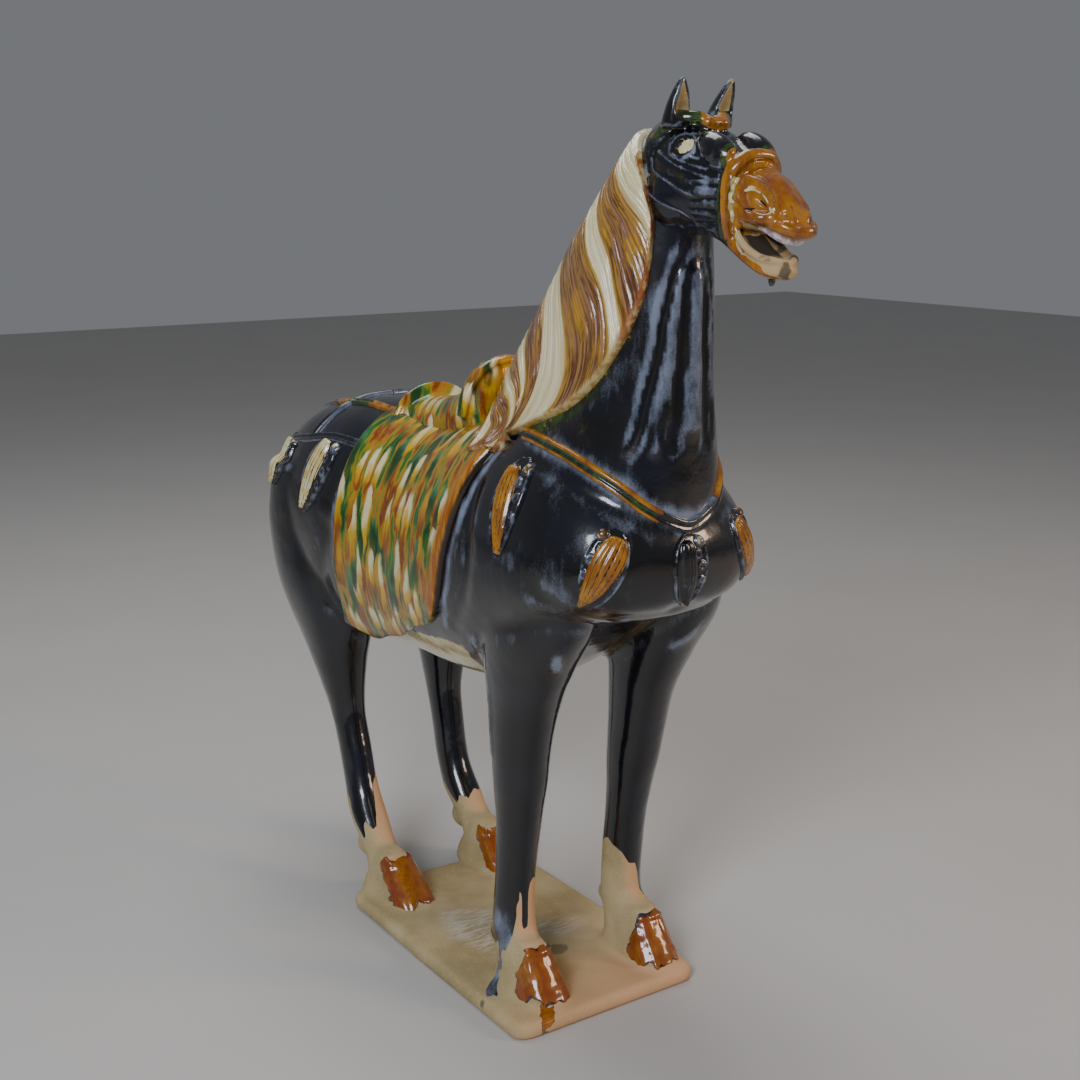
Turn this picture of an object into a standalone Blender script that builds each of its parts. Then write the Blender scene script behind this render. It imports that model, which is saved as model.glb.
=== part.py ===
"""Glazed pottery horse, standing saddled on the thin slab that it was fired with.

The horse faces -Y, its right side is -X, and the underside of the slab is at Z = 0.
The whole work is one piece of fired clay, so it is one object.
"""
import math

import bmesh
import bpy
import numpy as np
from mathutils import Vector
from mathutils.bvhtree import BVHTree

# Driving sizes, in metres
HORSE_HEIGHT = 0.736
SLAB_LENGTH = 0.300
SLAB_FRONT_WIDTH = 0.188
SLAB_REAR_WIDTH = 0.184
SLAB_THICKNESS = 0.014
SLAB_CORNER_RADIUS = 0.014
SLAB_EDGE_ROUNDING = 0.005
HORSE_OFFSET_LEFT = 0.006
CLOTH_THICKNESS = 0.006
STRAP_WIDTH = 0.011
STRAP_RISE = 0.004
CRUPPER_WIDTH = 0.007
MANE_THICKNESS = 0.008
MANE_GROOVE = 0.22
MANE_LOCKS = 6
EAR_LENGTH = 0.027
PENDANT_RISE = 0.007
VOXEL = 0.0026
FACE_COUNT = 9400

# The figure's pose and proportions are drawn for a horse 736 units tall, standing on the slab
UNIT = HORSE_HEIGHT / 736.0

CLAY_COLOUR = (0.45, 0.33, 0.2, 1.0)

# Rows: forward, top, bottom, height of the widest place, half width
TORSO = (
    (-366, 372, 350, 362, 10),
    (-352, 412, 300, 362, 42),
    (-325, 440, 262, 364, 72),
    (-275, 460, 240, 362, 94),
    (-205, 470, 232, 355, 98),
    (-140, 464, 237, 345, 92),
    (-80, 460, 240, 340, 89),
    (-20, 466, 243, 345, 92),
    (50, 480, 256, 355, 97),
    (110, 486, 297, 366, 100),
    (160, 478, 333, 374, 98),
    (200, 450, 343, 384, 84),
    (221, 426, 356, 390, 60),
    (232, 404, 380, 392, 14),
)
# Rows: height, back, front, half width
NECK = (
    (400, -50, 224, 72),
    (430, -36, 229, 72),
    (470, -14, 230, 64),
    (515, 14, 231, 54),
    (570, 60, 231, 46),
    (610, 92, 231, 40),
    (645, 124, 231, 35),
    (675, 154, 234, 32),
    (700, 184, 236, 26),
    (712, 202, 232, 14),
)
# Rows: height, forward, half length, half width, outward from the horse's middle plane
FORELEG = (
    (375, 128, 54, 24, 58),
    (330, 112, 57, 35, 58),
    (288, 98, 44, 32, 58),
    (250, 89, 33, 27, 56),
    (211, 84, 27, 23.5, 55),
    (180, 81, 24.5, 22, 54),
    (150, 78, 20, 18.5, 53),
    (112, 74, 17, 15.5, 53),
    (70, 71, 16.5, 15, 53),
    (46, 72, 19, 17, 53),
    (24, 78, 19, 18, 53),
    (-6, 80, 22, 20, 53),
)
# Rows: height, back and front from the pastern's middle, half width
HEEL = (
    (56, -15, 14, 13),
    (42, -16, 22, 17),
    (26, -16, 32, 19),
    (12, -16, 42, 20),
    (3, -17, 48, 24),
    (-6, -17, 52, 30),
)
HORN = (
    (44, 4, 28, 12),
    (32, 4, 37, 16),
    (16, 5, 48, 19),
    (5, 6, 57, 21),
    (-6, 8, 62, 22),
)
HINDLEG = (
    (400, -270, 62, 30, 64),
    (340, -272, 70, 37, 62),
    (285, -259, 64, 40, 60),
    (240, -246, 49, 33, 58),
    (200, -237, 32, 24, 57),
    (160, -229, 22, 16.5, 55),
    (120, -214, 17.5, 14, 55),
    (84, -200, 16.5, 13.5, 56),
    (58, -183, 20, 15.5, 58),
    (40, -162, 19, 16, 59),
    (22, -144, 19, 18, 60),
    (-6, -132, 17, 20, 60),
)
# Rows: along the face from the poll, top, bottom, half width
SKULL = (
    (-30, -14, -36, 10),
    (-16, 0, -54, 22),
    (0, 8, -66, 28),
    (20, 11, -68, 31),
    (42, 11, -60, 29),
    (62, 12, -50, 24),
    (78, 14, -42, 22),
    (92, 15, -30, 21),
    (106, 12, -22, 19),
    (118, 7, -17, 18),
    (128, 2, -14, 15),
    (136, -4, -11, 8),
)
LOWER_JAW = (
    (56, -30, -52, 16),
    (78, -28, -47, 17),
    (94, -30, -47, 16),
    (108, -32, -47, 15),
    (122, -32, -46, 14),
    (133, -29, -42, 10),
    (139, -31, -38, 5),
)
# Half sizes of the head's rounded parts: across, along, up
BROW = (11, 20, 12)
NOSTRIL = (8, 15, 9)
JOWL = (14, 25, 24)
FOREHEAD_KNOT = (12, 10, 7)
# Rows: outward, forward, height, from the poll down to the withers
MANE_CREST = (
    (0, 212, 708),
    (0, 173, 696),
    (0, 123, 656),
    (0, 78, 606),
    (0, 44, 562),
    (0, 10, 520),
    (-6, -20, 494),
    (-40, -8, 482),
)
MANE_EDGE = (
    (-28, 226, 690),
    (-34, 231, 661),
    (-38, 237, 630),
    (-44, 216, 580),
    (-56, 186, 531),
    (-68, 150, 502),
    (-78, 110, 484),
    (-86, 48, 469),
)
# Legs: which side, how far outward the top and the foot move from their rows
FORELEG_MOVES = ((-1, -3, 0), (1, 16, 8))
HINDLEG_MOVES = ((-1, 0, 0), (1, 12, -4))
# Outward and forward place of each hoof's pastern
FEET = ((-54, 80), (63, 83), (-60, -132), (55, -132))
# Saddle cloth: its sides' lowest angle, its rear and front borders and how far they draw in below
CLOTH_LOW_ANGLE = math.radians(-46)
CLOTH_REAR = -158
CLOTH_REAR_DRAWN_IN = 10
CLOTH_FRONT = 72
CLOTH_FRONT_DRAWN_IN = 34
# Saddle plates: forward, height of the centre, half sizes across, along and up
POMMEL = (-20, 481, (40, 10, 40))
CANTLE = (-140, 449, (46, 10, 40))
# Hanging ornaments: outward, forward and height of the centre, length
BREAST_PENDANT = ((0, 236, 384), 56)
SIDE_PENDANTS = (
    ((68, 212, 392), 66),
    ((98, 118, 420), 72),
    ((92, -207, 404), 62),
    ((88, -288, 396), 58),
)
POLL_FORWARD = 222
POLL_HEIGHT = 706
FACE_SLOPE = math.radians(29)


def clear_scene():
    for old in list(bpy.data.objects):
        bpy.data.objects.remove(old, do_unlink=True)


def place(outward, forward, height):
    """Drawing units to metres: outward is to the horse's left, heights are above the slab."""
    return Vector((HORSE_OFFSET_LEFT + outward * UNIT, -forward * UNIT, SLAB_THICKNESS + height * UNIT))


def on_face(along, up, outward=0.0):
    """A place on the head: along the face from the poll, and up from the face's line."""
    forward = POLL_FORWARD + along * math.cos(FACE_SLOPE) + up * math.sin(FACE_SLOPE)
    height = POLL_HEIGHT - along * math.sin(FACE_SLOPE) + up * math.cos(FACE_SLOPE)
    return place(outward, forward, height)


def between_rows(rows, steps):
    """Rows with smooth ones between them, each on the cubic through its four neighbours."""
    table = np.array(rows, dtype=float)
    padded = np.vstack((2 * table[0] - table[1], table, 2 * table[-1] - table[-2]))
    out = []
    for index in range(len(table) - 1):
        before, start, end, after = padded[index:index + 4]
        for step in range(steps):
            t = step / steps
            out.append(start + 0.5 * t * (end - before
                       + t * (2 * before - 5 * start + 4 * end - after
                              + t * (3 * (start - end) + after - before))))
    out.append(table[-1])
    return out


def add_rings(bm, rings):
    """Joins rings of points, all of one length, into a closed skin with a fan at each end."""
    loops = [[bm.verts.new(point) for point in ring] for ring in rings]
    count = len(loops[0])
    for lower, upper in zip(loops, loops[1:]):
        for i in range(count):
            j = (i + 1) % count
            bm.faces.new((lower[i], lower[j], upper[j], upper[i]))
    bm.faces.new(loops[0][::-1])
    bm.faces.new(loops[-1])


def round_ring(sides, squareness, centre, first, second):
    """A rounded ring about a centre; squareness 1 is an ellipse, less is fuller."""
    ring = []
    for i in range(sides):
        angle = 2 * math.pi * i / sides
        c, s = math.cos(angle), math.sin(angle)
        c = math.copysign(abs(c) ** squareness, c)
        s = math.copysign(abs(s) ** squareness, s)
        ring.append(centre + first * c + second * s)
    return ring


def add_torso(bm):
    sides = 32
    rings = []
    for forward, top, bottom, middle, half in between_rows(TORSO, 4):
        ring = []
        for i in range(sides):
            angle = 2 * math.pi * i / sides
            c, s = math.cos(angle), math.sin(angle)
            out = half * math.copysign(abs(c) ** 0.86, c)
            rise = (top - middle) if s > 0 else (middle - bottom)
            up = rise * math.copysign(abs(s) ** 0.92, s)
            ring.append(place(out, forward, middle + up))
        rings.append(ring)
    add_rings(bm, rings)


def add_neck(bm):
    sides = 28
    rings = []
    for height, back, front, half in between_rows(NECK, 4):
        ring = []
        for i in range(sides):
            angle = 2 * math.pi * i / sides
            c, s = math.cos(angle), math.sin(angle)
            narrowing = 1.0 + 0.22 * c
            ring.append(place(half * s * narrowing, 0.5 * (front + back) + 0.5 * (front - back) * c, height))
        rings.append(ring)
    add_rings(bm, rings)


def add_leg(bm, rows, side, top_out, foot_out):
    """One leg, its top and its foot moved outwards from where its rows put them."""
    rings = []
    top = rows[0][0]
    for height, forward, half_length, half_width, outward in between_rows(rows, 4):
        outward = outward + foot_out + (top_out - foot_out) * height / top
        centre = place(side * outward, forward, height)
        rings.append(round_ring(20, 0.95, centre, Vector((half_width * UNIT, 0, 0)),
                                Vector((0, -half_length * UNIT, 0))))
    add_rings(bm, rings)


def add_foot(bm, outward, forward):
    """A heel of clay that runs down to the slab, and in front of it the steep wedge of horn."""
    for rows in (HEEL, HORN):
        rings = []
        for height, back, front, half_width in between_rows(rows, 3):
            centre = place(outward, forward + 0.5 * (front + back), height)
            rings.append(round_ring(20, 0.85, centre, Vector((half_width * UNIT, 0, 0)),
                                    Vector((0, -0.5 * (front - back) * UNIT, 0))))
        add_rings(bm, rings)


def add_face_rows(bm, rows, fullness):
    """Rings across the face for the skull or the lower jaw."""
    rings = []
    across = Vector((1, 0, 0))
    up = on_face(0, 1) - on_face(0, 0)
    for along, top, bottom, half in between_rows(rows, 4):
        centre = on_face(along, 0.5 * (top + bottom))
        rings.append(round_ring(24, fullness, centre, across * half * UNIT, up * 0.5 * (top - bottom)))
    add_rings(bm, rings)


def add_ball(bm, centre, half_sizes):
    """An oval ball, its half sizes across, along and up in drawing units."""
    made = bmesh.ops.create_uvsphere(bm, u_segments=20, v_segments=12, radius=1.0)
    for vert in made["verts"]:
        stretched = [part * half * UNIT for part, half in zip(vert.co, half_sizes)]
        vert.co = centre + Vector(stretched)


def add_band(bm, path, half_width, half_rise, normals):
    """A band along a path, lying flat on the surface that the normals belong to."""
    rings = []
    last = len(path) - 1
    for i, (point, normal) in enumerate(zip(path, normals)):
        ahead = (path[min(i + 1, last)] - path[max(i - 1, 0)]).normalized()
        across = ahead.cross(normal).normalized()
        lift = across.cross(ahead).normalized()
        rings.append(round_ring(10, 0.8, point, across * half_width, lift * half_rise))
    add_rings(bm, rings)


def add_ears(bm):
    length = EAR_LENGTH / UNIT
    for side in (-1, 1):
        rings = []
        for i in range(9):
            share = i / 8
            height = -8 + (length + 8) * share
            width = 9.0 * (1 - share ** 1.8) ** 0.6 + 1.4
            centre = on_face(2, 9, side * (18 + 4 * share)) + Vector((0, 2 * UNIT * share, height * UNIT))
            rings.append(round_ring(16, 1.0, centre, Vector((width * UNIT, 0, 0)),
                                    Vector((0, (width * 0.62) * UNIT, 0))))
        add_rings(bm, rings)


def add_head(bm):
    add_face_rows(bm, SKULL, 0.9)
    add_face_rows(bm, LOWER_JAW, 0.85)
    add_ears(bm)
    for side in (-1, 1):
        add_ball(bm, on_face(32, 3, side * 18), BROW)
        add_ball(bm, on_face(100, 0, side * 10), NOSTRIL)
        add_ball(bm, on_face(22, -38, side * 19), JOWL)
    add_ball(bm, on_face(20, 14, 0), FOREHEAD_KNOT)
    add_noseband(bm)


def add_noseband(bm):
    """The rolled band round the muzzle, from the nose down each side to the jaw's corner."""
    for side in (-1, 1):
        path = [on_face(along, up, side * out) for along, up, out in
                ((70, 14, 0), (70, 12, 12), (71, 3, 20), (75, -12, 22), (81, -26, 20), (85, -38, 17))]
        centre = on_face(74, -18)
        normals = [(point - centre).normalized() for point in path]
        add_band(bm, path, 5 * UNIT, 3.6 * UNIT, normals)


def add_slab(bm):
    """The slab with its corners rounded, a little narrower behind, down past the table."""
    half_front, half_rear = SLAB_FRONT_WIDTH / 2, SLAB_REAR_WIDTH / 2
    half_length = SLAB_LENGTH / 2
    radius = SLAB_CORNER_RADIUS
    corners = (
        (half_front - radius, -half_length + radius, -90),
        (half_rear - radius, half_length - radius, 0),
        (-half_rear + radius, half_length - radius, 90),
        (-half_front + radius, -half_length + radius, 180),
    )
    edge = SLAB_EDGE_ROUNDING
    levels = [(-4 * VOXEL, 0.0), (SLAB_THICKNESS - edge, 0.0)]
    for step in range(1, 5):
        angle = math.radians(90 * step / 4)
        levels.append((SLAB_THICKNESS - edge + edge * math.sin(angle), edge * (1 - math.cos(angle))))
    rings = []
    for height, inset in levels:
        ring = []
        for x, y, start in corners:
            for step in range(7):
                angle = math.radians(start + 90 * step / 6)
                reach = radius - inset
                ring.append(Vector((x + reach * math.cos(angle), y + reach * math.sin(angle), height)))
        rings.append(ring)
    add_rings(bm, rings)


def torso_point(forward, angle, lift):
    """A point on the torso's own skin, moved out by lift; angle 90 degrees is the back line."""
    rows = between_rows(TORSO, 4)
    table = np.array(rows)
    top, bottom, middle, half = (np.interp(forward, table[:, 0], table[:, k]) for k in (1, 2, 3, 4))
    c, s = math.cos(angle), math.sin(angle)
    out = (half + lift) * math.copysign(abs(c) ** 0.86, c)
    rise = (top - middle + lift) if s > 0 else (middle - bottom + lift)
    return place(out, forward, middle + rise * math.copysign(abs(s) ** 0.92, s))


def add_cloth(bm):
    """The saddle cloth: a thick sheet over the back, with a panel down each side."""
    across, along = 48, 18
    thickness = CLOTH_THICKNESS / UNIT
    layers = []
    for lift in (thickness, -2 * thickness):
        layer = []
        for j in range(along + 1):
            row = []
            for i in range(across + 1):
                share = i / across
                angle = CLOTH_LOW_ANGLE + (math.pi - 2 * CLOTH_LOW_ANGLE) * share
                down = abs(2 * share - 1)
                rear = CLOTH_REAR + CLOTH_REAR_DRAWN_IN * down ** 4
                front = CLOTH_FRONT - CLOTH_FRONT_DRAWN_IN * down ** 2
                forward = rear + (front - rear) * j / along
                pull = 1.0 - max(0.0, (down - 0.9) / 0.1) * (0.10 if 0 < j < along else 0.55)
                middle_angle = math.pi / 2
                row.append(torso_point(forward, middle_angle + (angle - middle_angle) * pull ** 0.3, lift))
            layer.append(row)
        layers.append(layer)
    outer = [[bm.verts.new(p) for p in row] for row in layers[0]]
    inner = [[bm.verts.new(p) for p in row] for row in layers[1]]
    for j in range(along):
        for i in range(across):
            bm.faces.new((outer[j][i], outer[j][i + 1], outer[j + 1][i + 1], outer[j + 1][i]))
            bm.faces.new((inner[j + 1][i], inner[j + 1][i + 1], inner[j][i + 1], inner[j][i]))
    for j in range(along):
        for i in (0, across):
            quad = (outer[j][i], outer[j + 1][i], inner[j + 1][i], inner[j][i])
            bm.faces.new(quad if i == 0 else quad[::-1])
    for i in range(across):
        for j in (0, along):
            quad = (outer[j][i + 1], outer[j][i], inner[j][i], inner[j][i + 1])
            bm.faces.new(quad if j == 0 else quad[::-1])


def add_saddle(bm):
    """A low seat with a pommel arch in front and a cantle behind."""
    for forward, height, half_sizes in (POMMEL, CANTLE):
        add_ball(bm, place(0, forward, height), half_sizes)
    rings = []
    for i in range(9):
        share = i / 8
        forward = -140 + 116 * share
        rise = 477 + 30 * share ** 2
        centre = place(0, forward, rise - 30)
        rings.append(round_ring(20, 0.9, centre, Vector((40 * UNIT, 0, 0)), Vector((0, 0, 30 * UNIT))))
    add_rings(bm, rings)


def along_rows(rows, share):
    """The row at a share of the way along a table, smoothly."""
    table = np.array(between_rows(rows, 6))
    at = share * (len(table) - 1)
    return [float(np.interp(at, np.arange(len(table)), column)) for column in table.T]


def add_mane(bm, skin):
    """A thick fall of hair combed to the right, its root just left of the crest."""
    across, along = 36, 48
    outer, inner = [], []
    for j in range(along + 1):
        share = j / along
        root = along_rows(MANE_CREST, share)
        crest = place(*root)
        low = place(*along_rows(MANE_EDGE, share))
        left = place(14, root[1] + 4, root[2] - 14)
        row_out, row_in = [], []
        for i in range(across + 1):
            t = i / across
            if t < 0.2:
                point = left.lerp(crest, t / 0.2)
            else:
                point = crest.lerp(low, (t - 0.2) / 0.8)
            near, normal, _, _ = skin.find_nearest(point)
            fade = math.sin(math.pi * min(1.0, max(0.0, 0.04 + t * 0.98))) ** 0.35
            lock = 1.0 + MANE_GROOVE * math.sin(2 * math.pi * (MANE_LOCKS * t + 1.6 * share))
            row_out.append(near + normal * MANE_THICKNESS * fade * lock)
            row_in.append(near - normal * MANE_THICKNESS)
        outer.append(row_out)
        inner.append(row_in)
    rings = [row_out + row_in[::-1] for row_out, row_in in zip(outer, inner)]
    add_rings(bm, rings)


def add_tail(bm):
    """A short bound tail, its end turned up beside the rump."""
    path = [place(0, -345, 420), place(0, -362, 410), place(0, -372, 388), place(2, -376, 360),
            place(3, -374, 332), place(3, -368, 306), place(3, -362, 288)]
    rings = []
    sizes = (10, 12, 12, 11, 12, 11, 5)
    for point, size in zip(path, sizes):
        rings.append(round_ring(14, 1.0, point, Vector((size * UNIT, 0, 0)), Vector((0, size * UNIT, 0))))
    add_rings(bm, rings)


def snapped(skin, points, spacing):
    """Points along a line on the skin, with the skin's normals."""
    path, normals = [], []
    for start, end in zip(points, points[1:]):
        count = max(2, int((end - start).length / spacing))
        for i in range(count):
            near, normal, _, _ = skin.find_nearest(start.lerp(end, i / count))
            path.append(near)
            normals.append(normal)
    near, normal, _, _ = skin.find_nearest(points[-1])
    return path + [near], normals + [normal]


def add_straps(bm, skin):
    """The breast strap, and the crupper straps that run back over the rump."""
    rows = ((-86, 66, 478), (-84, 110, 470), (-74, 150, 456), (-56, 190, 440), (-30, 218, 426), (0, 236, 418))
    right = [place(*row) for row in rows]
    left = [place(-out, forward, height) for out, forward, height in rows[-2::-1]]
    path, normals = snapped(skin, right + left, 0.012)
    add_band(bm, path, STRAP_WIDTH / 2, STRAP_RISE, normals)
    for side in (-1, 1):
        upper = [place(side * out, forward, height) for out, forward, height in
                 ((36, -150, 470), (40, -200, 472), (44, -250, 468), (34, -300, 458), (10, -345, 440))]
        lower = [place(side * out, forward, height) for out, forward, height in
                 ((78, -150, 440), (82, -200, 440), (84, -255, 430), (70, -310, 418), (40, -345, 405))]
        cross = [place(side * out, forward, height) for out, forward, height in
                 ((0, -222, 476), (44, -228, 470), (86, -236, 438))]
        for line in (upper, lower, cross):
            path, normals = snapped(skin, line, 0.015)
            add_band(bm, path, CRUPPER_WIDTH / 2, STRAP_RISE, normals)


def pendant_places():
    """Centre and length of each hanging leaf: one in the middle of the breast, then four a side."""
    places = [BREAST_PENDANT]
    for (outward, forward, height), length in SIDE_PENDANTS:
        places += [((side * outward, forward, height), length) for side in (-1, 1)]
    return places


def add_pendants(bm, skin):
    """Each pendant is a knot over a leaf-shaped tassel, its border raised."""
    for row, length in pendant_places():
        centre, normal, _, _ = skin.find_nearest(place(*row))
        down = Vector((0, 0, -1))
        down = (down - normal * down.dot(normal)).normalized()
        across = normal.cross(down)
        half = length * UNIT / 2
        rings = []
        for i in range(9):
            share = i / 8
            width = half * 0.5 * math.sin(math.pi * (0.06 + 0.9 * share)) ** 0.8
            spot, spot_normal, _, _ = skin.find_nearest(centre + down * half * (2 * share - 0.9))
            rings.append(round_ring(10, 0.85, spot, across * width,
                                    spot_normal * PENDANT_RISE * math.sin(math.pi * (0.08 + 0.84 * share)) ** 0.5))
        add_rings(bm, rings)
        knot, knot_normal, _, _ = skin.find_nearest(centre - down * half * 0.75)
        add_ball(bm, knot, (length * 0.13, length * 0.13, length * 0.13))


def new_object(name, bm):
    mesh = bpy.data.meshes.new(name)
    bmesh.ops.recalc_face_normals(bm, faces=bm.faces)
    bm.to_mesh(mesh)
    bm.free()
    made = bpy.data.objects.new(name, mesh)
    bpy.context.scene.collection.objects.link(made)
    return made


def evaluated_copy(source):
    """The mesh that an object's modifiers give, as plain data."""
    graph = bpy.context.evaluated_depsgraph_get()
    return bpy.data.meshes.new_from_object(source.evaluated_get(graph))


def fused(name, bm, smoothing):
    """One closed skin round everything in bm, its joins softened as wet clay's are."""
    made = new_object(name, bm)
    remesh = made.modifiers.new("one skin", "REMESH")
    remesh.mode = "VOXEL"
    remesh.voxel_size = VOXEL
    if smoothing:
        smooth = made.modifiers.new("softened joins", "SMOOTH")
        smooth.factor = 0.5
        smooth.iterations = smoothing
    mesh = evaluated_copy(made)
    bpy.data.objects.remove(made, do_unlink=True)
    return mesh


def clay_material():
    made = bpy.data.materials.new("glazed clay")
    made.use_nodes = True
    shader = made.node_tree.nodes["Principled BSDF"]
    shader.inputs["Base Color"].default_value = CLAY_COLOUR
    shader.inputs["Roughness"].default_value = 0.35
    shader.inputs["Metallic"].default_value = 0.0
    return made


def flat_underside(bm):
    """Cuts everything below the table away and closes the cut with one flat face."""
    geometry = bm.verts[:] + bm.edges[:] + bm.faces[:]
    cut = bmesh.ops.bisect_plane(bm, geom=geometry, plane_co=(0, 0, 0), plane_no=(0, 0, -1), clear_outer=True)
    rim = [edge for edge in cut["geom_cut"] if isinstance(edge, bmesh.types.BMEdge)]
    bmesh.ops.triangle_fill(bm, edges=rim, use_beauty=True, use_dissolve=False)


def build():
    clear_scene()
    bm = bmesh.new()
    add_torso(bm)
    add_neck(bm)
    for move in FORELEG_MOVES:
        add_leg(bm, FORELEG, *move)
    for move in HINDLEG_MOVES:
        add_leg(bm, HINDLEG, *move)
    for outward, forward in FEET:
        add_foot(bm, outward, forward)
    add_head(bm)
    add_slab(bm)
    add_tail(bm)
    body = fused("body", bm, 6)

    bm = bmesh.new()
    bm.from_mesh(body)
    skin = BVHTree.FromBMesh(bm)
    add_cloth(bm)
    add_saddle(bm)
    add_mane(bm, skin)
    add_straps(bm, skin)
    add_pendants(bm, skin)
    whole = fused("dressed", bm, 1)

    horse = bpy.data.objects.new("horse", whole)
    bpy.context.scene.collection.objects.link(horse)
    thin = horse.modifiers.new("fewer faces", "DECIMATE")
    thin.ratio = min(1.0, FACE_COUNT / (2.0 * len(whole.polygons)))
    thinned = evaluated_copy(horse)
    bpy.data.objects.remove(horse, do_unlink=True)

    bm = bmesh.new()
    bm.from_mesh(thinned)
    flat_underside(bm)
    horse = new_object("horse", bm)
    horse.data.shade_smooth()
    horse.data.materials.append(clay_material())
    return horse


build()
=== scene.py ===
"""Looks of the glazed pottery horse: its modelled skin, mane, saddle, harness and glazes.

The horse faces -Y and its right side is -X. Forms are drawn in units of about a millimetre, as
rows of outward (to the horse's left), forward and height above the slab, and scaled to the frame.
"""

import math

import bmesh
import bpy
import numpy as np
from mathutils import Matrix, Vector
from mathutils.bvhtree import BVHTree


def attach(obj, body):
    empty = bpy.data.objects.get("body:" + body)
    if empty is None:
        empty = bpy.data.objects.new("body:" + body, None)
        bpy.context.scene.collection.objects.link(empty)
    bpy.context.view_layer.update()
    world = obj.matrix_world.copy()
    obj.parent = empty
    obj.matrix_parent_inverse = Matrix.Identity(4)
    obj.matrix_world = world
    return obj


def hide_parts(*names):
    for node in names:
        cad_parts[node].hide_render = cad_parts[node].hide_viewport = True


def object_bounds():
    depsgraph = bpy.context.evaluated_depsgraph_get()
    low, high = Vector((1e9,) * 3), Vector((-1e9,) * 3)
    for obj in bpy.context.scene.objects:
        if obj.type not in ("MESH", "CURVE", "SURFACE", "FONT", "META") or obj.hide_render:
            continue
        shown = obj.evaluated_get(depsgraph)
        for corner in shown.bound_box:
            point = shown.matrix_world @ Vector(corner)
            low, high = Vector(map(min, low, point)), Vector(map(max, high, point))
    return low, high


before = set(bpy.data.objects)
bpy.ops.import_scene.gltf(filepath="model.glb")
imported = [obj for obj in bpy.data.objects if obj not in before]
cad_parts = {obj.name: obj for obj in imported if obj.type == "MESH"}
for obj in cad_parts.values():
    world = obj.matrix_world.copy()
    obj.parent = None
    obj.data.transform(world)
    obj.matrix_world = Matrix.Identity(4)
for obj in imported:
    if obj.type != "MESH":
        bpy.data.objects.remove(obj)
cad_low, cad_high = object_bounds()

# The slab's thickness in metres, the height drawn above it, and metres to a drawing unit
SLAB_THICKNESS = 0.014
DRAWN_HEIGHT = 737.3
UNIT = (cad_high.z - SLAB_THICKNESS) / DRAWN_HEIGHT
# How far to its left the horse's middle lies, in metres
MIDDLE = 0.006

# The slab in drawing units
SLAB_LENGTH = 300.0
SLAB_FRONT_WIDTH = 188.0
SLAB_REAR_WIDTH = 184.0
SLAB_CORNER = 14.0
SLAB_EDGE_ROUND = 5.0
# Cells of the fused skins, in metres
BODY_VOXEL = 0.0034
HEAD_VOXEL = 0.0013
SADDLE_VOXEL = 0.0017
# Metres of relief that count as a full ridge or groove
BODY_RELIEF = 0.00022
HEAD_RELIEF = 0.00009
# Where the body's front and rear pieces meet, forward
HALVES_MEET = -45.0

# The horse's two sides as signs of outward
SIDES = ((-1, "right"), (1, "left"))

# Barrel, from the rump to the breast: forward, top, bottom, height of the widest place, half width
TORSO = (
    (-366, 372, 350, 362, 10), (-352, 412, 300, 362, 42), (-325, 440, 262, 364, 72),
    (-275, 460, 240, 362, 94), (-205, 470, 232, 355, 98), (-140, 464, 237, 345, 92),
    (-80, 460, 240, 340, 89), (-20, 466, 243, 345, 92), (50, 480, 256, 355, 97),
    (110, 486, 297, 366, 100), (160, 478, 333, 374, 98), (200, 450, 343, 384, 84),
    (221, 426, 356, 390, 60), (232, 404, 380, 392, 14),
)
# Neck: height, back, front, half width
NECK = (
    (400, -50, 224, 72), (430, -36, 229, 72), (470, -14, 230, 64), (515, 14, 231, 54),
    (570, 60, 231, 46), (610, 92, 231, 40), (645, 124, 231, 35), (675, 154, 234, 32),
    (700, 184, 236, 26), (712, 202, 232, 14),
)
# Legs: height, forward, half length, half width, outward
FORELEG = (
    (375, 128, 54, 24, 58), (330, 112, 57, 35, 58), (288, 98, 44, 32, 58), (250, 89, 33, 27, 56),
    (211, 84, 27, 23.5, 55), (180, 81, 24.5, 22, 54), (150, 78, 21, 19.5, 53),
    (112, 74, 19, 17.5, 53), (70, 71, 18.5, 17, 53), (46, 72, 19.5, 18, 53), (24, 78, 19, 18, 53),
    (-6, 80, 22, 20, 53),
)
HINDLEG = (
    (400, -270, 62, 30, 64), (340, -272, 70, 37, 62), (285, -259, 64, 40, 60),
    (240, -246, 49, 33, 58), (200, -237, 32, 24, 57), (160, -229, 22, 17, 55),
    (120, -214, 19, 15.5, 55), (84, -200, 18.5, 15.5, 56), (58, -183, 21, 17, 58),
    (40, -164, 19, 16, 59), (22, -146, 17, 17, 60), (-6, -134, 17, 19, 60),
)
# Feet: height, back and front from the foot's middle, half width
HEEL = ((50, -13, 10, 12), (40, -12, 20, 16), (26, -12, 30, 18.5), (14, -18, 40, 20),
        (4, -22, 46, 24), (-6, -22, 52, 30))
HORN = ((44, 4, 28, 12), (32, 4, 37, 16), (16, 5, 48, 19), (5, 6, 57, 21), (-6, 8, 62, 22))
HIND_HEEL = ((40, -18, 4, 12), (30, -16, 14, 16), (22, -20, 24, 18), (12, -32, 36, 20),
             (3, -36, 46, 24), (-6, -36, 50, 30))
HIND_HORN = ((38, -12, 13, 11), (31, -8, 22, 15), (21, -1, 35, 18), (12, 4, 46, 20), (4, 6, 54, 21.5),
             (-6, 8, 60, 22))
FEET = {"fore_right": (-54, 80, HEEL, HORN), "fore_left": (63, 83, HEEL, HORN),
        "hind_right": (-60, -132, HIND_HEEL, HIND_HORN), "hind_left": (55, -144, HIND_HEEL, HIND_HORN)}
# Knobs behind the legs over the heels: outward, forward, height
FETLOCKS = ((-56, 61, 35), (60, 62, 41), (-62, -172, 32), (53, -182, 30))
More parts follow.
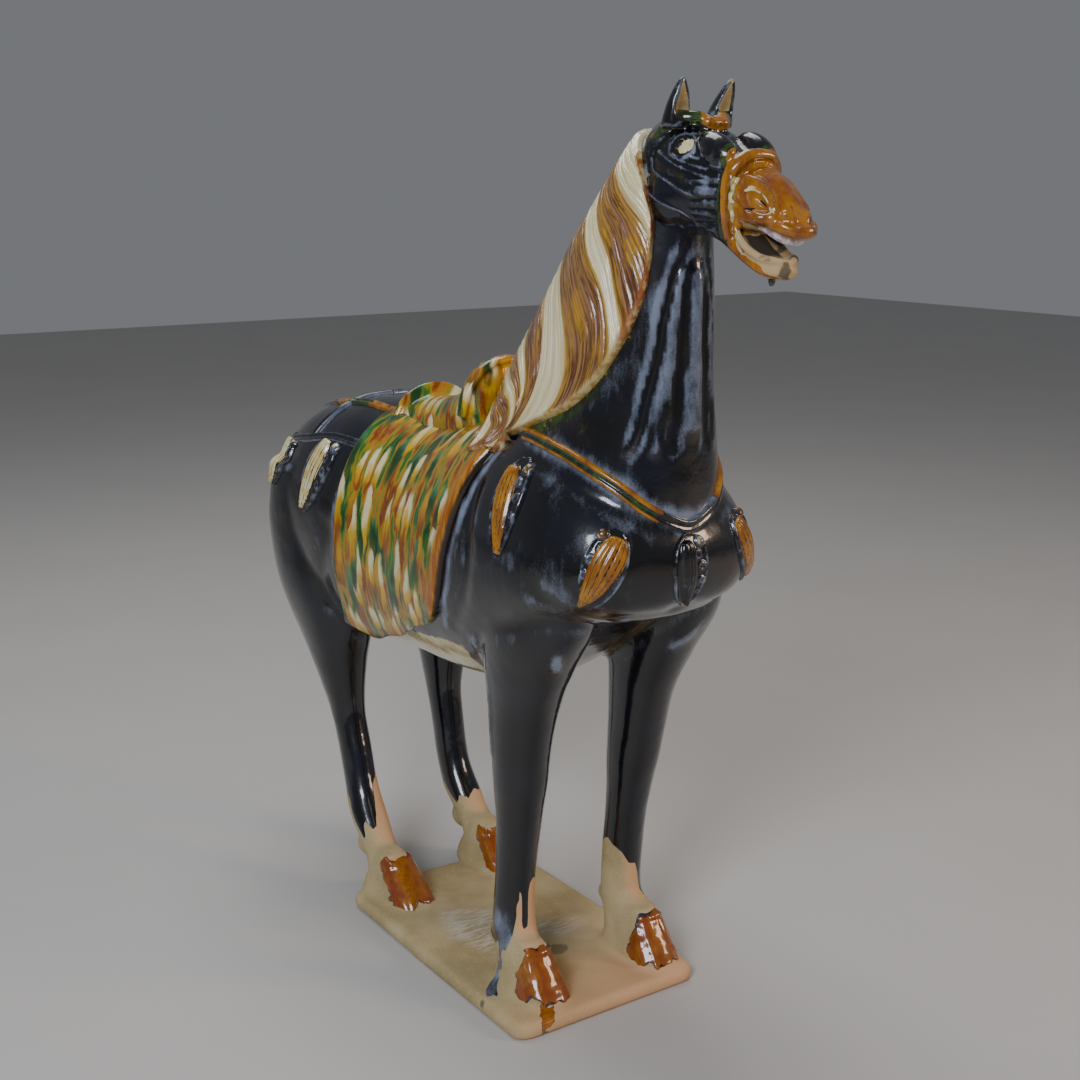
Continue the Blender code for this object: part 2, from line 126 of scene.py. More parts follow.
# Legs: rows, side, how far the top and the foot move outwards, the foot backwards, from their rows
LEGS = {"fore_right": (FORELEG, -1, -3, 0, 0), "fore_left": (FORELEG, 1, 16, 8, 0),
        "hind_right": (HINDLEG, -1, 0, 0, 0), "hind_left": (HINDLEG, 1, 12, -4, 12)}

# Head: along the face from the poll, top, bottom, half width
SKULL = (
    (-30, -14, -36, 10), (-16, 0, -54, 22), (0, 8, -66, 28), (20, 11, -68, 31), (42, 11, -60, 29),
    (62, 12, -50, 24), (78, 13, -42, 21), (92, 13, -30, 20), (106, 10, -22, 18),
    (118, 6, -17, 17), (128, 1, -14, 15), (136, -4, -11, 8),
)
LOWER_JAW = (
    (56, -30, -52, 16), (78, -28, -47, 17), (94, -30, -47, 16), (108, -33, -47, 15),
    (122, -33, -46, 14), (133, -30, -42, 10), (139, -31, -38, 5),
)
POLL = (222.0, 706.0)
FACE_SLOPE = math.radians(29)

# Mane: outward, forward, height, down the crest and down the lower edge of the hair
MANE_CREST = ((0, 186, 703), (0, 158, 686), (0, 121, 654), (0, 78, 606), (0, 44, 562),
              (0, 10, 520), (-6, -20, 494), (-40, -8, 482))
MANE_EDGE = ((-30, 204, 688), (-36, 216, 660), (-40, 225, 630), (-44, 216, 580), (-56, 186, 531),
             (-67, 148, 503), (-74, 106, 487), (-78, 60, 474))


# Shapes worked out on arrays


def stacked(*parts):
    """Rows from their parts, each repeated where it is the same across or down."""
    return np.stack(np.broadcast_arrays(*parts), -1)


def place(rows):
    """Drawing rows (outward, forward, height) to metres in the frame."""
    rows = np.asarray(rows, float)
    return stacked(MIDDLE + rows[..., 0] * UNIT, -rows[..., 1] * UNIT, SLAB_THICKNESS + rows[..., 2] * UNIT)


def drawn(points):
    """Metres back to drawing rows."""
    return stacked((points[..., 0] - MIDDLE) / UNIT, -points[..., 1] / UNIT,
                   (points[..., 2] - SLAB_THICKNESS) / UNIT)


def on_face(along, up, outward):
    """The head's own rows: along the sloping face from the poll, up from its line, outward."""
    c, s = math.cos(FACE_SLOPE), math.sin(FACE_SLOPE)
    return place(stacked(outward, POLL[0] + along * c + up * s, POLL[1] - along * s + up * c))


def face_rows(points):
    """Metres to the head's rows: along, up and outward."""
    rows = drawn(points)
    forward, height = rows[..., 1] - POLL[0], rows[..., 2] - POLL[1]
    c, s = math.cos(FACE_SLOPE), math.sin(FACE_SLOPE)
    return forward * c - height * s, forward * s + height * c, rows[..., 0]


def curve(rows, t):
    """Rows read at shares t of their table, on the cubic through each four neighbours."""
    table = np.asarray(rows, float)
    padded = np.vstack((2 * table[0] - table[1], table, 2 * table[-1] - table[-2]))
    at = np.clip(np.asarray(t, float), 0, 1) * (len(table) - 1)
    start = np.minimum(at.astype(int), len(table) - 2)
    f = (at - start)[..., None]
    a, b, c, d = (padded[start + k] for k in range(4))
    return b + 0.5 * f * (c - a + f * (2 * a - 5 * b + 4 * c - d + f * (3 * (b - c) + d - a)))


def columns(rows, count, start=0.0):
    """A table's columns, read at so many places from a share of it to its end."""
    return curve(rows, np.linspace(start, 1, count)).T[:, :, None]


def circle(count):
    """Cosine and sine of so many even turns round a ring."""
    angle = np.linspace(0, 2 * math.pi, count, endpoint=False)[None, :]
    return np.cos(angle), np.sin(angle)


def full(value, power):
    """A sine or cosine made fuller, its sign kept: |value| to a power under 1."""
    return np.sign(value) * np.abs(value) ** power


def smooth(value, low, high):
    """0 below low, 1 above high, and a soft S between them."""
    t = np.clip((value - low) / (high - low), 0, 1)
    return t * t * (3 - 2 * t)


def bell(value, middle, width):
    """1 at the middle, falling to both sides as exp(-((value - middle) / width) ** 2)."""
    return np.exp(-((value - middle) / width) ** 2)


def rolled(share):
    """A quarter circle: 0 at share 0, rising round to 1 at share 1 and staying there."""
    return np.sqrt(np.clip(1 - (1 - np.clip(share, 0, 1)) ** 2, 0, 1))


def oval(x, y, middle, reach):
    """How far out of an oval's middle a place lies: 1 on the oval, whose half widths are its reach."""
    return np.hypot((x - middle[0]) / reach[0], (y - middle[1]) / reach[1])


def unit(vectors):
    """Vectors brought to a length of 1."""
    return vectors / np.maximum(np.linalg.norm(vectors, axis=-1, keepdims=True), 1e-12)


def noise(points, size, seed):
    """Soft noise from 0 to 1: random values on a lattice of cells, blended within each cell."""
    lattice = np.random.default_rng(seed).random((32, 32, 32))
    at = np.asarray(points, float) / size
    cell = np.floor(at).astype(int)
    f = at - cell
    f = f * f * (3 - 2 * f)
    total = np.zeros(at.shape[:-1])
    for corner in np.ndindex(2, 2, 2):
        weight = np.prod(np.where(np.array(corner) == 1, f, 1 - f), -1)
        i, j, k = np.moveaxis((cell + corner) % 32, -1, 0)
        total += lattice[i, j, k] * weight
    return total


def layered(points, size, seed):
    """Three layers of noise, each half the size and half the strength of the one before."""
    total, strength = 0.0, 0.0
    for layer in range(3):
        total = total + noise(points, size / 2 ** layer, seed + layer) / 2 ** layer
        strength += 1 / 2 ** layer
    return total / strength


def nearness(points, path, radius):
    """A bell across a line: 1 on the path's segments, falling as exp(-(distance / radius) ** 2)."""
    best = np.full(len(points), np.inf)
    for a, b in zip(path, path[1:]):
        ab = b - a
        t = np.clip((points - a) @ ab / max(ab @ ab, 1e-18), 0, 1)
        best = np.minimum(best, ((points - a - t[:, None] * ab) ** 2).sum(1))
    return np.exp(-best / radius ** 2)


def mirrored(path):
    """A path's twin on the horse's other side."""
    return path * (-1, 1, 1) + (2 * MIDDLE, 0, 0)


def drawn_path(rows):
    """A smooth path through drawing rows, and its twin on the horse's other side."""
    path = place(curve(rows, np.linspace(0, 1, 4 * len(rows))))
    return path, mirrored(path)


# Meshes from arrays


def ring_skin(rings):
    """Rings (count, around, 3) joined into a closed skin, a middle point closing each end."""
    count, around, _ = rings.shape
    points = np.concatenate((rings.reshape(-1, 3), rings[:1].mean(1), rings[-1:].mean(1)))
    row = np.arange(count - 1)[:, None] * around
    here = np.arange(around)[None, :]
    after = (here + 1) % around
    quads = np.stack((row + here, row + after, row + around + after, row + around + here), -1)
    tip, tail = count * around, count * around + 1
    first = np.stack((after[0], here[0], np.full(around, tip)), -1)
    last = np.stack((here[0], after[0], np.full(around, tail)), -1)
    last[:, :2] += (count - 1) * around
    return points, quads.reshape(-1, 4).tolist() + first.tolist() + last.tolist()


def sheet_skin(outer, inner):
    """A closed shell between two like grids of points: outer above, inner below, rims joined."""
    rows, columns, _ = outer.shape
    count = rows * columns
    index = np.arange(count).reshape(rows, columns)
    quads = np.stack((index[:-1, :-1], index[1:, :-1], index[1:, 1:], index[:-1, 1:]), -1).reshape(-1, 4)
    rim = np.concatenate((index[0, :-1], index[:-1, -1], index[-1, :0:-1], index[:0:-1, 0]))
    after = np.roll(rim, -1)
    sides = np.stack((rim, after, after + count, rim + count), -1)
    faces = np.concatenate((quads, quads[:, ::-1] + count, sides))
    return np.concatenate((outer.reshape(-1, 3), inner.reshape(-1, 3))), faces.tolist()


def new_mesh(name, points, faces):
    """A mesh whose faces point outwards: turned round where its signed volume is negative."""
    mesh = bpy.data.meshes.new(name)
    mesh.from_pydata(points.tolist(), [], faces)
    mesh.update()
    first = np.array([face[:3] for face in faces])
    second = np.array([(face[0], face[-2], face[-1]) for face in faces if len(face) == 4])
    volume = 0.0
    for part in (first, second):
        if len(part):
            a, b, c = points[part[:, 0]], points[part[:, 1]], points[part[:, 2]]
            volume += (a * np.cross(b, c)).sum()
    if volume < 0:
        mesh.flip_normals()
    return mesh


def read_numbers(items, name, width, kind=np.float32):
    """An array of one row for each of a mesh's items."""
    flat = np.empty(len(items) * width, kind)
    items.foreach_get(name, flat)
    return flat.reshape(-1, width)


def coordinates(mesh):
    """The places of a mesh's vertices."""
    return read_numbers(mesh.vertices, "co", 3).astype(float)


def normals(mesh):
    """The ways a mesh's vertices face."""
    return read_numbers(mesh.vertex_normals, "vector", 3).astype(float)


def edges(mesh):
    """The two ends of each edge of a mesh."""
    return read_numbers(mesh.edges, "vertices", 2, np.int32)


def set_coordinates(mesh, points):
    """Moves a mesh's vertices."""
    mesh.vertices.foreach_set("co", points.astype(np.float32).ravel())
    mesh.update()


def neighbour_mean(pairs, values, rounds):
    """Each vertex's value replaced by the mean of its neighbours', so many times over."""
    count = np.bincount(pairs.ravel(), minlength=len(values))
    for _ in range(rounds):
        columns = values if values.ndim == 2 else values[:, None]
        mean = [np.bincount(pairs[:, 0], column[pairs[:, 1]], len(values))
                + np.bincount(pairs[:, 1], column[pairs[:, 0]], len(values)) for column in columns.T]
        values = (np.stack(mean, -1) / count[:, None]).reshape(values.shape)
    return values


def bulge(mesh, rounds):
    """How far each vertex stands out of its surroundings, in metres, over what the form's own
    roundness gives: over 0 on ridges, under 0 in grooves."""
    points, pairs = coordinates(mesh), edges(mesh)
    near = neighbour_mean(pairs, points, rounds)
    wide = neighbour_mean(pairs, near, 3 * rounds)
    return ((points - near - (points - wide) / 4) * normals(mesh)).sum(1)


def evaluated(source):
    """An object's mesh with its modifiers worked in; the object itself goes."""
    graph = bpy.context.evaluated_depsgraph_get()
    mesh = bpy.data.meshes.new_from_object(source.evaluated_get(graph))
    bpy.data.objects.remove(source, do_unlink=True)
    return mesh


def loose_object(name, data):
    """An object in the scene that holds a mesh, a camera or a lamp."""
    made = bpy.data.objects.new(name, data)
    bpy.context.scene.collection.objects.link(made)
    return made


def fused(name, parts, voxel, rounds):
    """One skin round all the closed parts, its joins softened as wet clay's are."""
    points, faces, start = [], [], 0
    for part_points, part_faces in parts:
        points.append(part_points)
        faces += [[i + start for i in face] for face in part_faces]
        start += len(part_points)
    mesh = bpy.data.meshes.new(name)
    mesh.from_pydata(np.concatenate(points).tolist(), [], faces)
    made = loose_object(name, mesh)
    remesh = made.modifiers.new("one skin", "REMESH")
    remesh.mode = "VOXEL"
    remesh.voxel_size = voxel
    soften = made.modifiers.new("softened joins", "SMOOTH")
    soften.factor = 0.5
    soften.iterations = rounds
    return evaluated(made)


def search_tree(mesh):
    """A mesh's faces, ready to be asked for the nearest place."""
    return BVHTree.FromPolygons([v.co for v in mesh.vertices], [tuple(p.vertices) for p in mesh.polygons])


def pressed_on(points, target):
    """A grid of points moved to the nearest place on the target's skin."""
    mesh = bpy.data.meshes.new("pressed")
    mesh.from_pydata(points.reshape(-1, 3).tolist(), [], [])
    made = loose_object("pressed", mesh)
    press = made.modifiers.new("press", "SHRINKWRAP")
    press.target = target
    press.wrap_method = "NEAREST_SURFACEPOINT"
    return coordinates(evaluated(made)).reshape(points.shape)


def grid_normals(points, rounds):
    """Unit normals of a grid of points, from its two directions' differences, softened in rounds."""
    normal = np.cross(np.gradient(points, axis=0), np.gradient(points, axis=1))
    for _ in range(rounds):
        padded = np.pad(normal, ((1, 1), (1, 1), (0, 0)), mode="edge")
        normal = (padded[:-2, 1:-1] + padded[2:, 1:-1] + padded[1:-1, :-2] + padded[1:-1, 2:]) / 4
    return unit(normal)


def paint(mesh, name, *channels):
    """Stores up to four shares per vertex as one colour attribute, for the materials to read."""
    colours = np.zeros((len(mesh.vertices), 4), np.float32)
    for i, channel in enumerate(channels):
        colours[:, i] = np.clip(channel, 0, 1)
    layer = mesh.attributes.new(name, "FLOAT_COLOR", "POINT")
    layer.data.foreach_set("color", colours.ravel())


def store(mesh, name, vectors):
    """Stores one vector per vertex, for the materials to read."""
    layer = mesh.attributes.new(name, "FLOAT_VECTOR", "POINT")
    layer.data.foreach_set("vector", vectors.astype(np.float32).ravel())


def both_skins(grid):
    """A sheet's grid of values, for its outer and its inner skin alike."""
    return np.concatenate((grid.reshape(-1, *grid.shape[2:]),) * 2)


def half(mesh, forward, keep_front):
    """The closed half of a mesh in front of or behind a crosswise cut, its cut edge kept crisp."""
    part = mesh.copy()
    work = bmesh.new()
    work.from_mesh(part)
    turned = -1 if keep_front else 1
    cut = bmesh.ops.bisect_plane(work, geom=work.verts[:] + work.edges[:] + work.faces[:], clear_inner=True,
                                 plane_co=place((0, forward, 0)), plane_no=(0, turned, 0))
    rim = [e for e in cut["geom_cut"] if isinstance(e, bmesh.types.BMEdge)]
    bmesh.ops.triangle_fill(work, edges=rim, use_beauty=False)
    for made in rim:
        made.smooth = False
    work.to_mesh(part)
    work.free()
    return part


def show(name, mesh, material):
    """Makes a finished piece: smooth, in its material, riding with the pottery body."""
    made = loose_object(name, mesh)
    mesh.shade_smooth()
    mesh.materials.append(material)
    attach(made, "root")
    return made


# Glazes and clay


# Settings that many nodes share: a soft step, and a mix of colours with the output it gives
SOFT = {"interpolation_type": "SMOOTHSTEP"}
COLOURS = {"data_type": "RGBA", "out": 2}


def ink(text):
    """An sRGB hex colour as the linear colour that Blender's sockets take."""
    parts = [int(text[i:i + 2], 16) / 255 for i in (1, 3, 5)]
    return tuple(p / 12.92 if p <= 0.04045 else ((p + 0.055) / 1.055) ** 2.4 for p in parts) + (1.0,)


def add(tree, kind, links, out=0, **settings):
    """Adds a node with its settings; links maps a socket to a value or to another node's output."""
    made = tree.nodes.new("ShaderNode" + kind)
    for key, value in settings.items():
        setattr(made, key, value)
    for key, value in links.items():
        if isinstance(value, bpy.types.NodeSocket):
            tree.links.new(value, made.inputs[key])
        else:
            made.inputs[key].default_value = value
    return made.outputs[out]


def graded(tree, value, low, high, first, second):
    """The first tone, turning softly into the second as the value goes from low to high."""
    share = add(tree, "MapRange", {0: value, 1: low, 2: high}, **SOFT)
    return add(tree, "Mix", {0: share, 6: first, 7: second}, **COLOURS)


def grain(tree, where, millimetres, detail=3.0, roughness=0.6, stretch=(1, 1, 1), seed=0.0):
    """A pattern whose features are so many millimetres across, drawn out along the axes by stretch."""
    spot = add(tree, "Mapping", {"Vector": where, "Location": (seed, seed * 0.7, seed * 1.3),
                                 "Scale": tuple(1 / s for s in stretch)})
    return add(tree, "TexNoise", {"Vector": spot, "Scale": 1000.0 / millimetres, "Detail": detail,
                                  "Roughness": roughness})


def shares(tree, name):
    """The four painted shares of an attribute: three from its colour, one from its alpha."""
    read = add(tree, "Attribute", {}, attribute_name=name).node
    split = add(tree, "SeparateColor", {0: read.outputs["Color"]}).node
    return (*split.outputs, read.outputs["Alpha"])


def new_finish(name):
    """A material with its node tree and its shader."""
    material = bpy.data.materials.new(name)
    material.use_nodes = True
    return material, material.node_tree, material.node_tree.nodes["Principled BSDF"]


def complete(tree, shader, colour, even, height=None, depth=0.001, strength=0.6):
    """Gives a finish its colour, the sockets that are even all over, and its relief in metres."""
    tree.links.new(colour, shader.inputs["Base Color"])
    for socket, value in even.items():
        shader.inputs[socket].default_value = value
    if height is not None:
        bump = add(tree, "Bump", {"Height": height, "Distance": depth, "Strength": strength})
        for socket in ("Normal", "Coat Normal"):
            tree.links.new(bump, shader.inputs[socket])


def black_glaze(tree, where, haze_and_highlights):
    """Iron and cobalt lead glaze, fired nearly black: navy where thin, brown where it pooled,
    dulled by burial to a pale bloom that gathers beside relief, in runs and in fine specks;
    painted highlights are laid into the same pale colour."""
    deep = graded(tree, grain(tree, where, 55), 0.35, 0.7, ink("#030406"), ink("#0a0f1c"))
    deep = graded(tree, grain(tree, where, 80, seed=3.0), 0.56, 0.75, deep, ink("#120d09"))
    streak = grain(tree, where, 9, 5.0, 0.70, (1, 1, 3.0), 5.0)
    fine = grain(tree, where, 1.4, 3.0, 0.7)
    cloud = add(tree, "Math", {0: fine, 1: 0.5, 2: -0.80}, operation="MULTIPLY_ADD")
    cloud = add(tree, "Math", {0: streak, 1: 1.1, 2: cloud}, operation="MULTIPLY_ADD")
    cloud = add(tree, "Math", {0: haze_and_highlights, 1: cloud}, operation="ADD")
    # Pale bloom, with the painted highlights that share its colour
    bloom_and_highlights = add(tree, "MapRange", {0: cloud, 1: 0.20, 2: 1.05, 4: 0.70}, **SOFT)
    dust = grain(tree, where, 1.1, 2.0, 0.6, (1, 1, 1), 9.0)
    speck = add(tree, "MapRange", {0: dust, 1: 0.74, 2: 0.80, 4: 0.14}, **SOFT)
    bloom_and_highlights = add(tree, "Math", {0: bloom_and_highlights, 1: speck}, operation="MAXIMUM")
    return add(tree, "Mix", {0: bloom_and_highlights, 6: deep, 7: ink("#8e9ab0")}, **COLOURS), bloom_and_highlights


def amber_glaze(tree, where):
    """Iron lead glaze: orange-brown with darker veins where it ran thick."""
    cloudy = grain(tree, where, 14, 4.0, 0.6, (1, 1, 2.5))
    body = graded(tree, cloudy, 0.3, 0.7, ink("#7c4404"), ink("#b57c10"))
    vein = grain(tree, where, 3.2, 5.0, 0.7, (1, 1, 3.0), 2.0)
    return graded(tree, vein, 0.56, 0.72, body, ink("#3f1a05"))


def green_glaze(tree, where):
    """Copper lead glaze: deep leaf green, yellower where thin."""
    body = graded(tree, grain(tree, where, 10, 4.0), 0.35, 0.7, ink("#0a1f0c"), ink("#33500f"))
    thin = grain(tree, where, 6, 4.0, 0.6, (1, 1, 1), 4.0)
    return graded(tree, thin, 0.6, 0.75, body, ink("#a08c14"))


def cream_glaze(tree, where):
    """Clear lead glaze over pale slip: straw cream, yellower where it pooled."""
    return graded(tree, grain(tree, where, 12, 4.0), 0.4, 0.75, ink("#dcd3a4"), ink("#c9a73a"))


def tooth_glaze(name):
    """Thin clear glaze over white slip, stained lilac brown in patches."""
    material, tree, shader = new_finish(name)
    where = add(tree, "TexCoord", {}, out="Object")
    tone = graded(tree, grain(tree, where, 5, 4.0), 0.4, 0.65, ink("#cfc3c6"), ink("#8f7a78"))
    complete(tree, shader, tone, {"Roughness": 0.30, "Coat Weight": 0.6, "Coat Roughness": 0.10})
    return material


def bare_clay(tree, where):
    """Unglazed biscuit: buff and olive, paler where fine grit shows."""
    body = graded(tree, grain(tree, where, 70), 0.35, 0.7, ink("#a69468"), ink("#c0ae84"))
    grit = grain(tree, where, 2.2, 6.0, 0.75, (1, 1, 1), 7.0)
    return graded(tree, grit, 0.5, 0.8, body, ink("#d0c29c"))


def pottery(name):
    """The whole horse's finish. Painted shares say where each glaze lies: amber, green, cream and
    bare clay, then pale bloom with painted highlights, flush, slip, and stains with painted shade
    inside the mouth; noise makes their borders ragged."""
    material, tree, shader = new_finish(name)
    where = add(tree, "TexCoord", {}, out="Object")
    amber, green, cream, clay = shares(tree, "glazes")
    # Marks: pale bloom with painted highlights, flush, slip, and stains with painted shade inside the mouth
    haze_and_highlights, flush, slip, darkening = shares(tree, "marks")
    rough_edge = grain(tree, where, 7, 5.0, 0.65)
    rough_edge = add(tree, "Math", {0: rough_edge, 1: 0.5, 2: -0.25}, operation="MULTIPLY_ADD")
    fine_edge = grain(tree, where, 5, 3.0, 0.5)
    fine_edge = add(tree, "Math", {0: fine_edge, 1: 0.16, 2: -0.08}, operation="MULTIPLY_ADD")

    # The black glaze, paled by its bloom and by painted highlights
    colour, bloom_and_highlights = black_glaze(tree, where, haze_and_highlights)
    redness = add(tree, "Math", {0: flush, 1: 0.9}, operation="MULTIPLY")
    redder = add(tree, "Mix", {0: redness, 6: amber_glaze(tree, where), 7: ink("#86380c")}, **COLOURS)
    for share, glaze in ((green, green_glaze(tree, where)), (amber, redder),
                         (cream, cream_glaze(tree, where))):
        ragged = add(tree, "Math", {0: share, 1: rough_edge}, operation="ADD")
        colour = graded(tree, ragged, 0.36, 0.50, colour, ink("#1d0f12"))
        colour = graded(tree, ragged, 0.44, 0.60, colour, glaze)
    biscuit = add(tree, "Mix", {0: flush, 6: bare_clay(tree, where), 7: ink("#dcab80")}, **COLOURS)
    bristles = grain(tree, where, 2.6, 3.0, 0.6, (5, 1, 1))
    brushed = add(tree, "MapRange", {0: bristles, 1: 0.34, 2: 0.68}, **SOFT)
    brushed = add(tree, "Math", {0: slip, 1: brushed}, operation="MULTIPLY")
    biscuit = add(tree, "Mix", {0: brushed, 6: biscuit, 7: ink("#d6cfc2")}, **COLOURS)
    # Clay darkened by stains, and by painted shade inside the mouth
    biscuit = graded(tree, darkening, 0.3, 0.95, biscuit, ink("#322d26"))
    bare = add(tree, "Math", {0: clay, 1: fine_edge}, operation="ADD")
    bare = add(tree, "MapRange", {0: bare, 1: 0.47, 2: 0.53}, **SOFT)
    colour = add(tree, "Mix", {0: bare, 6: colour, 7: biscuit}, **COLOURS)

    dull = add(tree, "Math", {0: bloom_and_highlights, 1: 0.25, 2: 0.26}, operation="MULTIPLY_ADD")
    dull = add(tree, "Math", {0: bare, 1: 0.6, 2: dull}, operation="MULTIPLY_ADD")
    tree.links.new(dull, shader.inputs["Roughness"])
    glassy = add(tree, "Math", {0: 1.0, 1: bare}, operation="SUBTRACT")
    tree.links.new(glassy, shader.inputs["Coat Weight"])

    peel = add(tree, "Math", {0: grain(tree, where, 3.5, 3.0, 0.5), 1: 0.12}, operation="MULTIPLY")
    hand = grain(tree, where, 16, 2.0, 0.5, (1, 1, 1), 6.0)
    height = add(tree, "Math", {0: hand, 1: 0.55, 2: peel}, operation="MULTIPLY_ADD")
    pits = grain(tree, where, 1.5, 6.0, 0.8)
    pits = add(tree, "Math", {0: pits, 1: 0.35, 2: -0.5}, operation="MULTIPLY_ADD")
    height = add(tree, "Math", {0: bare, 1: pits, 2: height}, operation="MULTIPLY_ADD")
    complete(tree, shader, colour, {"Coat Roughness": 0.09, "Coat IOR": 1.5, "Specular IOR Level": 0.3},
             height)
    return material


# Body: barrel, neck, legs, feet and slab in one skin


def torso_skin(forward, angle, lift=0.0):
    """The barrel's skin: at each place along it a full oval, wider than deep; 90 degrees is the back."""
    rows = curve(TORSO, np.linspace(0, 1, 160))
    top, bottom, middle, width = (np.interp(forward, rows[:, 0], rows[:, k]) for k in (1, 2, 3, 4))
    c, s = np.cos(angle), np.sin(angle)
    rise = np.where(s > 0, top - middle, middle - bottom) + lift
    return place(stacked((width + lift) * full(c, 0.86), forward, middle + rise * full(s, 0.92)))


def torso_part():
    """The barrel as rings from the rump to the breast."""
    angle = np.linspace(0, 2 * math.pi, 64, endpoint=False)[None, :]
    return ring_skin(torso_skin(columns(TORSO, 70)[0], angle))


def neck_part(count=60, start=0.0, inset=0.0):
    """Ovals stacked up the neck from a share of its rows, broader towards the throat, and drawn in
    by the inset at their lower end."""
    c, s = circle(56)
    height, back, front, width = columns(NECK, count, start)
    inside = inset * smooth(-height, -652, -620)
    return ring_skin(place(stacked((width - inside) * s * (1 + 0.22 * c),
                                   (front + back) / 2 + ((front - back) / 2 - inside) * c, height)))


def leg_line(leg, height, forward, out):
    """A leg's middle line, outward and forward, its top and its foot moved from where its rows
    put them."""
    rows, side, top_out, foot_out, foot_back = leg
    return (side * (out + foot_out + (top_out - foot_out) * height / rows[0][0]),
            forward - foot_back * smooth(-height, -180, -20))


def leg_part(leg):
    """Ovals down a leg."""
    c, s = circle(40)
    height, forward, length, width, out = columns(leg[0], 80)
    out, forward = leg_line(leg, height, forward, out)
    return ring_skin(place(stacked(out + width * full(c, 0.95), forward + length * full(s, 0.95), height)))


def foot_ovals(rows, count, around):
    """Ovals down a foot from rows about its middle: how far out, how far forward, and height."""
    c, s = circle(around)
    height, back, front, width = columns(rows, count)
    return width * full(c, 0.85), (front + back) / 2 + (front - back) / 2 * full(s, 0.85), height


def foot_part(rows, outward, forward):
    """A foot's heel or horn, in its place."""
    out, fore, height = foot_ovals(rows, 30, 40)
    return ring_skin(place(stacked(outward + out, forward + fore, height)))


def slab_part():
    """A rounded oblong carried up from the table, drawn in along a quarter circle at its top edge."""
    corner, edge_round = SLAB_CORNER, SLAB_EDGE_ROUND
    thickness = SLAB_THICKNESS / UNIT
    bend = np.linspace(0, math.pi / 2, 6)
    inset = np.concatenate(((1.2, 1.0, 0, 0), edge_round * (1 - np.cos(bend))))
    height = np.concatenate(((-thickness, -thickness, 1.0 - thickness, -edge_round - 0.1),
                             -edge_round + edge_round * np.sin(bend)))
    rings = []
    for turn, sx, sy in ((0, 1, 1), (90, -1, 1), (180, -1, -1), (270, 1, -1)):
        straight = (SLAB_FRONT_WIDTH if sy > 0 else SLAB_REAR_WIDTH) / 2 - corner
        angle = np.radians(turn + np.linspace(0, 90, 9))[None, :]
        reach = (corner - inset)[:, None]
        x = sx * straight + reach * np.cos(angle)
        y = sy * (SLAB_LENGTH / 2 - corner) + reach * np.sin(angle)
        rings.append(stacked(x - MIDDLE / UNIT, y, height[:, None]))
    return ring_skin(place(np.concatenate(rings, 1)))


# Strokes of the modeller's tool: drawing rows, half width and rise in millimetres
BODY_STROKES = (
    (((-9, 238, 636), (-16, 227, 604), (-23, 223, 573), (-26, 221, 549), (-31, 216, 520), (-35, 212, 493),
      (-38, 207, 478)), 4.0, -3.4),
    (((-7, 236, 612), (-9, 230, 590), (-10, 229, 556), (-13, 228, 520), (-15, 225, 480)), 4.0, -2.6),
    (((-13, 228, 604), (-16, 226, 570), (-19, 225, 540), (-24, 221, 510), (-26, 219, 480)), 4.5, 1.6),
    (((2, 230, 602), (1, 230, 565), (-3, 230, 538), (-2, 227, 496)), 6.0, 2.2),
    (((-36, 196, 640), (-40, 188, 590), (-50, 170, 540), (-60, 150, 510)), 14.0, -2.4),
    (((-74, 52, 453), (-84, 46, 437), (-93, 49, 418), (-100, 54, 392), (-103, 50, 364), (-101, 35, 338),
      (-97, 8, 318)), 4.5, 2.6),
    (((-84, 66, 437), (-93, 68, 410), (-100, 74, 380), (-101, 66, 345), (-97, 40, 312)), 8.0, -2.2),
    (((-96, 165, 372), (-90, 186, 356), (-72, 200, 350), (-40, 212, 350), (0, 218, 352)), 9.0, -2.0),
    (((-40, 206, 344), (-62, 190, 330), (-70, 166, 312), (-60, 140, 298)), 5.0, 1.6),
    (((-79, 70, 330), (-84, 64, 310), (-82, 60, 292), (-76, 58, 270)), 4.0, 1.8),
    (((-82, 88, 300), (-80, 78, 262), (-76, 74, 232), (-74, 72, 208)), 3.2, 1.5),
    (((-96, -180, 350), (-92, -196, 310), (-86, -206, 280)), 12.0, -2.4),
    (((-76, -150, 452), (-88, -160, 420), (-95, -166, 380), (-97, -168, 340), (-94, -170, 300)), 3.6, 2.0),
)

# Where the glaze went pale beside relief, and painted highlights on the neck and chest: drawing rows, reach
# in millimetres, strength
HALOS_AND_HIGHLIGHTS = (
    (((-84, 60, 480), (-72, 90, 481), (-62, 150, 472), (-48, 204, 451), (-36, 220, 437), (0, 233, 420)),
     10.0, 0.85),
    (((-100, 98, 430), (-101, 110, 400), (-97, 138, 388)), 10.0, 0.30),
    (((-74, 196, 412), (-80, 190, 380), (-76, 190, 362)), 9.0, 0.42),
    (((-50, 214, 420), (-52, 212, 384), (-62, 204, 362)), 7.0, 0.30),
    (((-88, -180, 440), (-94, -186, 405), (-94, -196, 372)), 8.0, 0.25),
    (((-70, 120, 486), (-62, 160, 500), (-52, 200, 540)), 9.0, 0.40),
    (((-40, 206, 344), (-62, 190, 330), (-70, 166, 312), (-60, 140, 298)), 9.0, 0.45),
    (((0, 226, 360), (-16, 222, 348), (-30, 212, 340)), 10.0, 0.40),
    (((-70, 150, 448), (-66, 190, 430), (-52, 215, 412)), 14.0, 0.22),
    (((-86, 60, 446), (-90, 90, 452), (-84, 120, 462)), 10.0, 0.35),
    (((-40, 222, 580), (-47, 214, 545), (-58, 196, 515)), 14.0, 0.50),
    (((-36, 232, 640), (-37, 230, 615), (-38, 226, 590)), 11.0, 0.55),
    (((-96, 150, 400), (-90, 176, 385), (-96, 165, 360)), 16.0, 0.22),
)


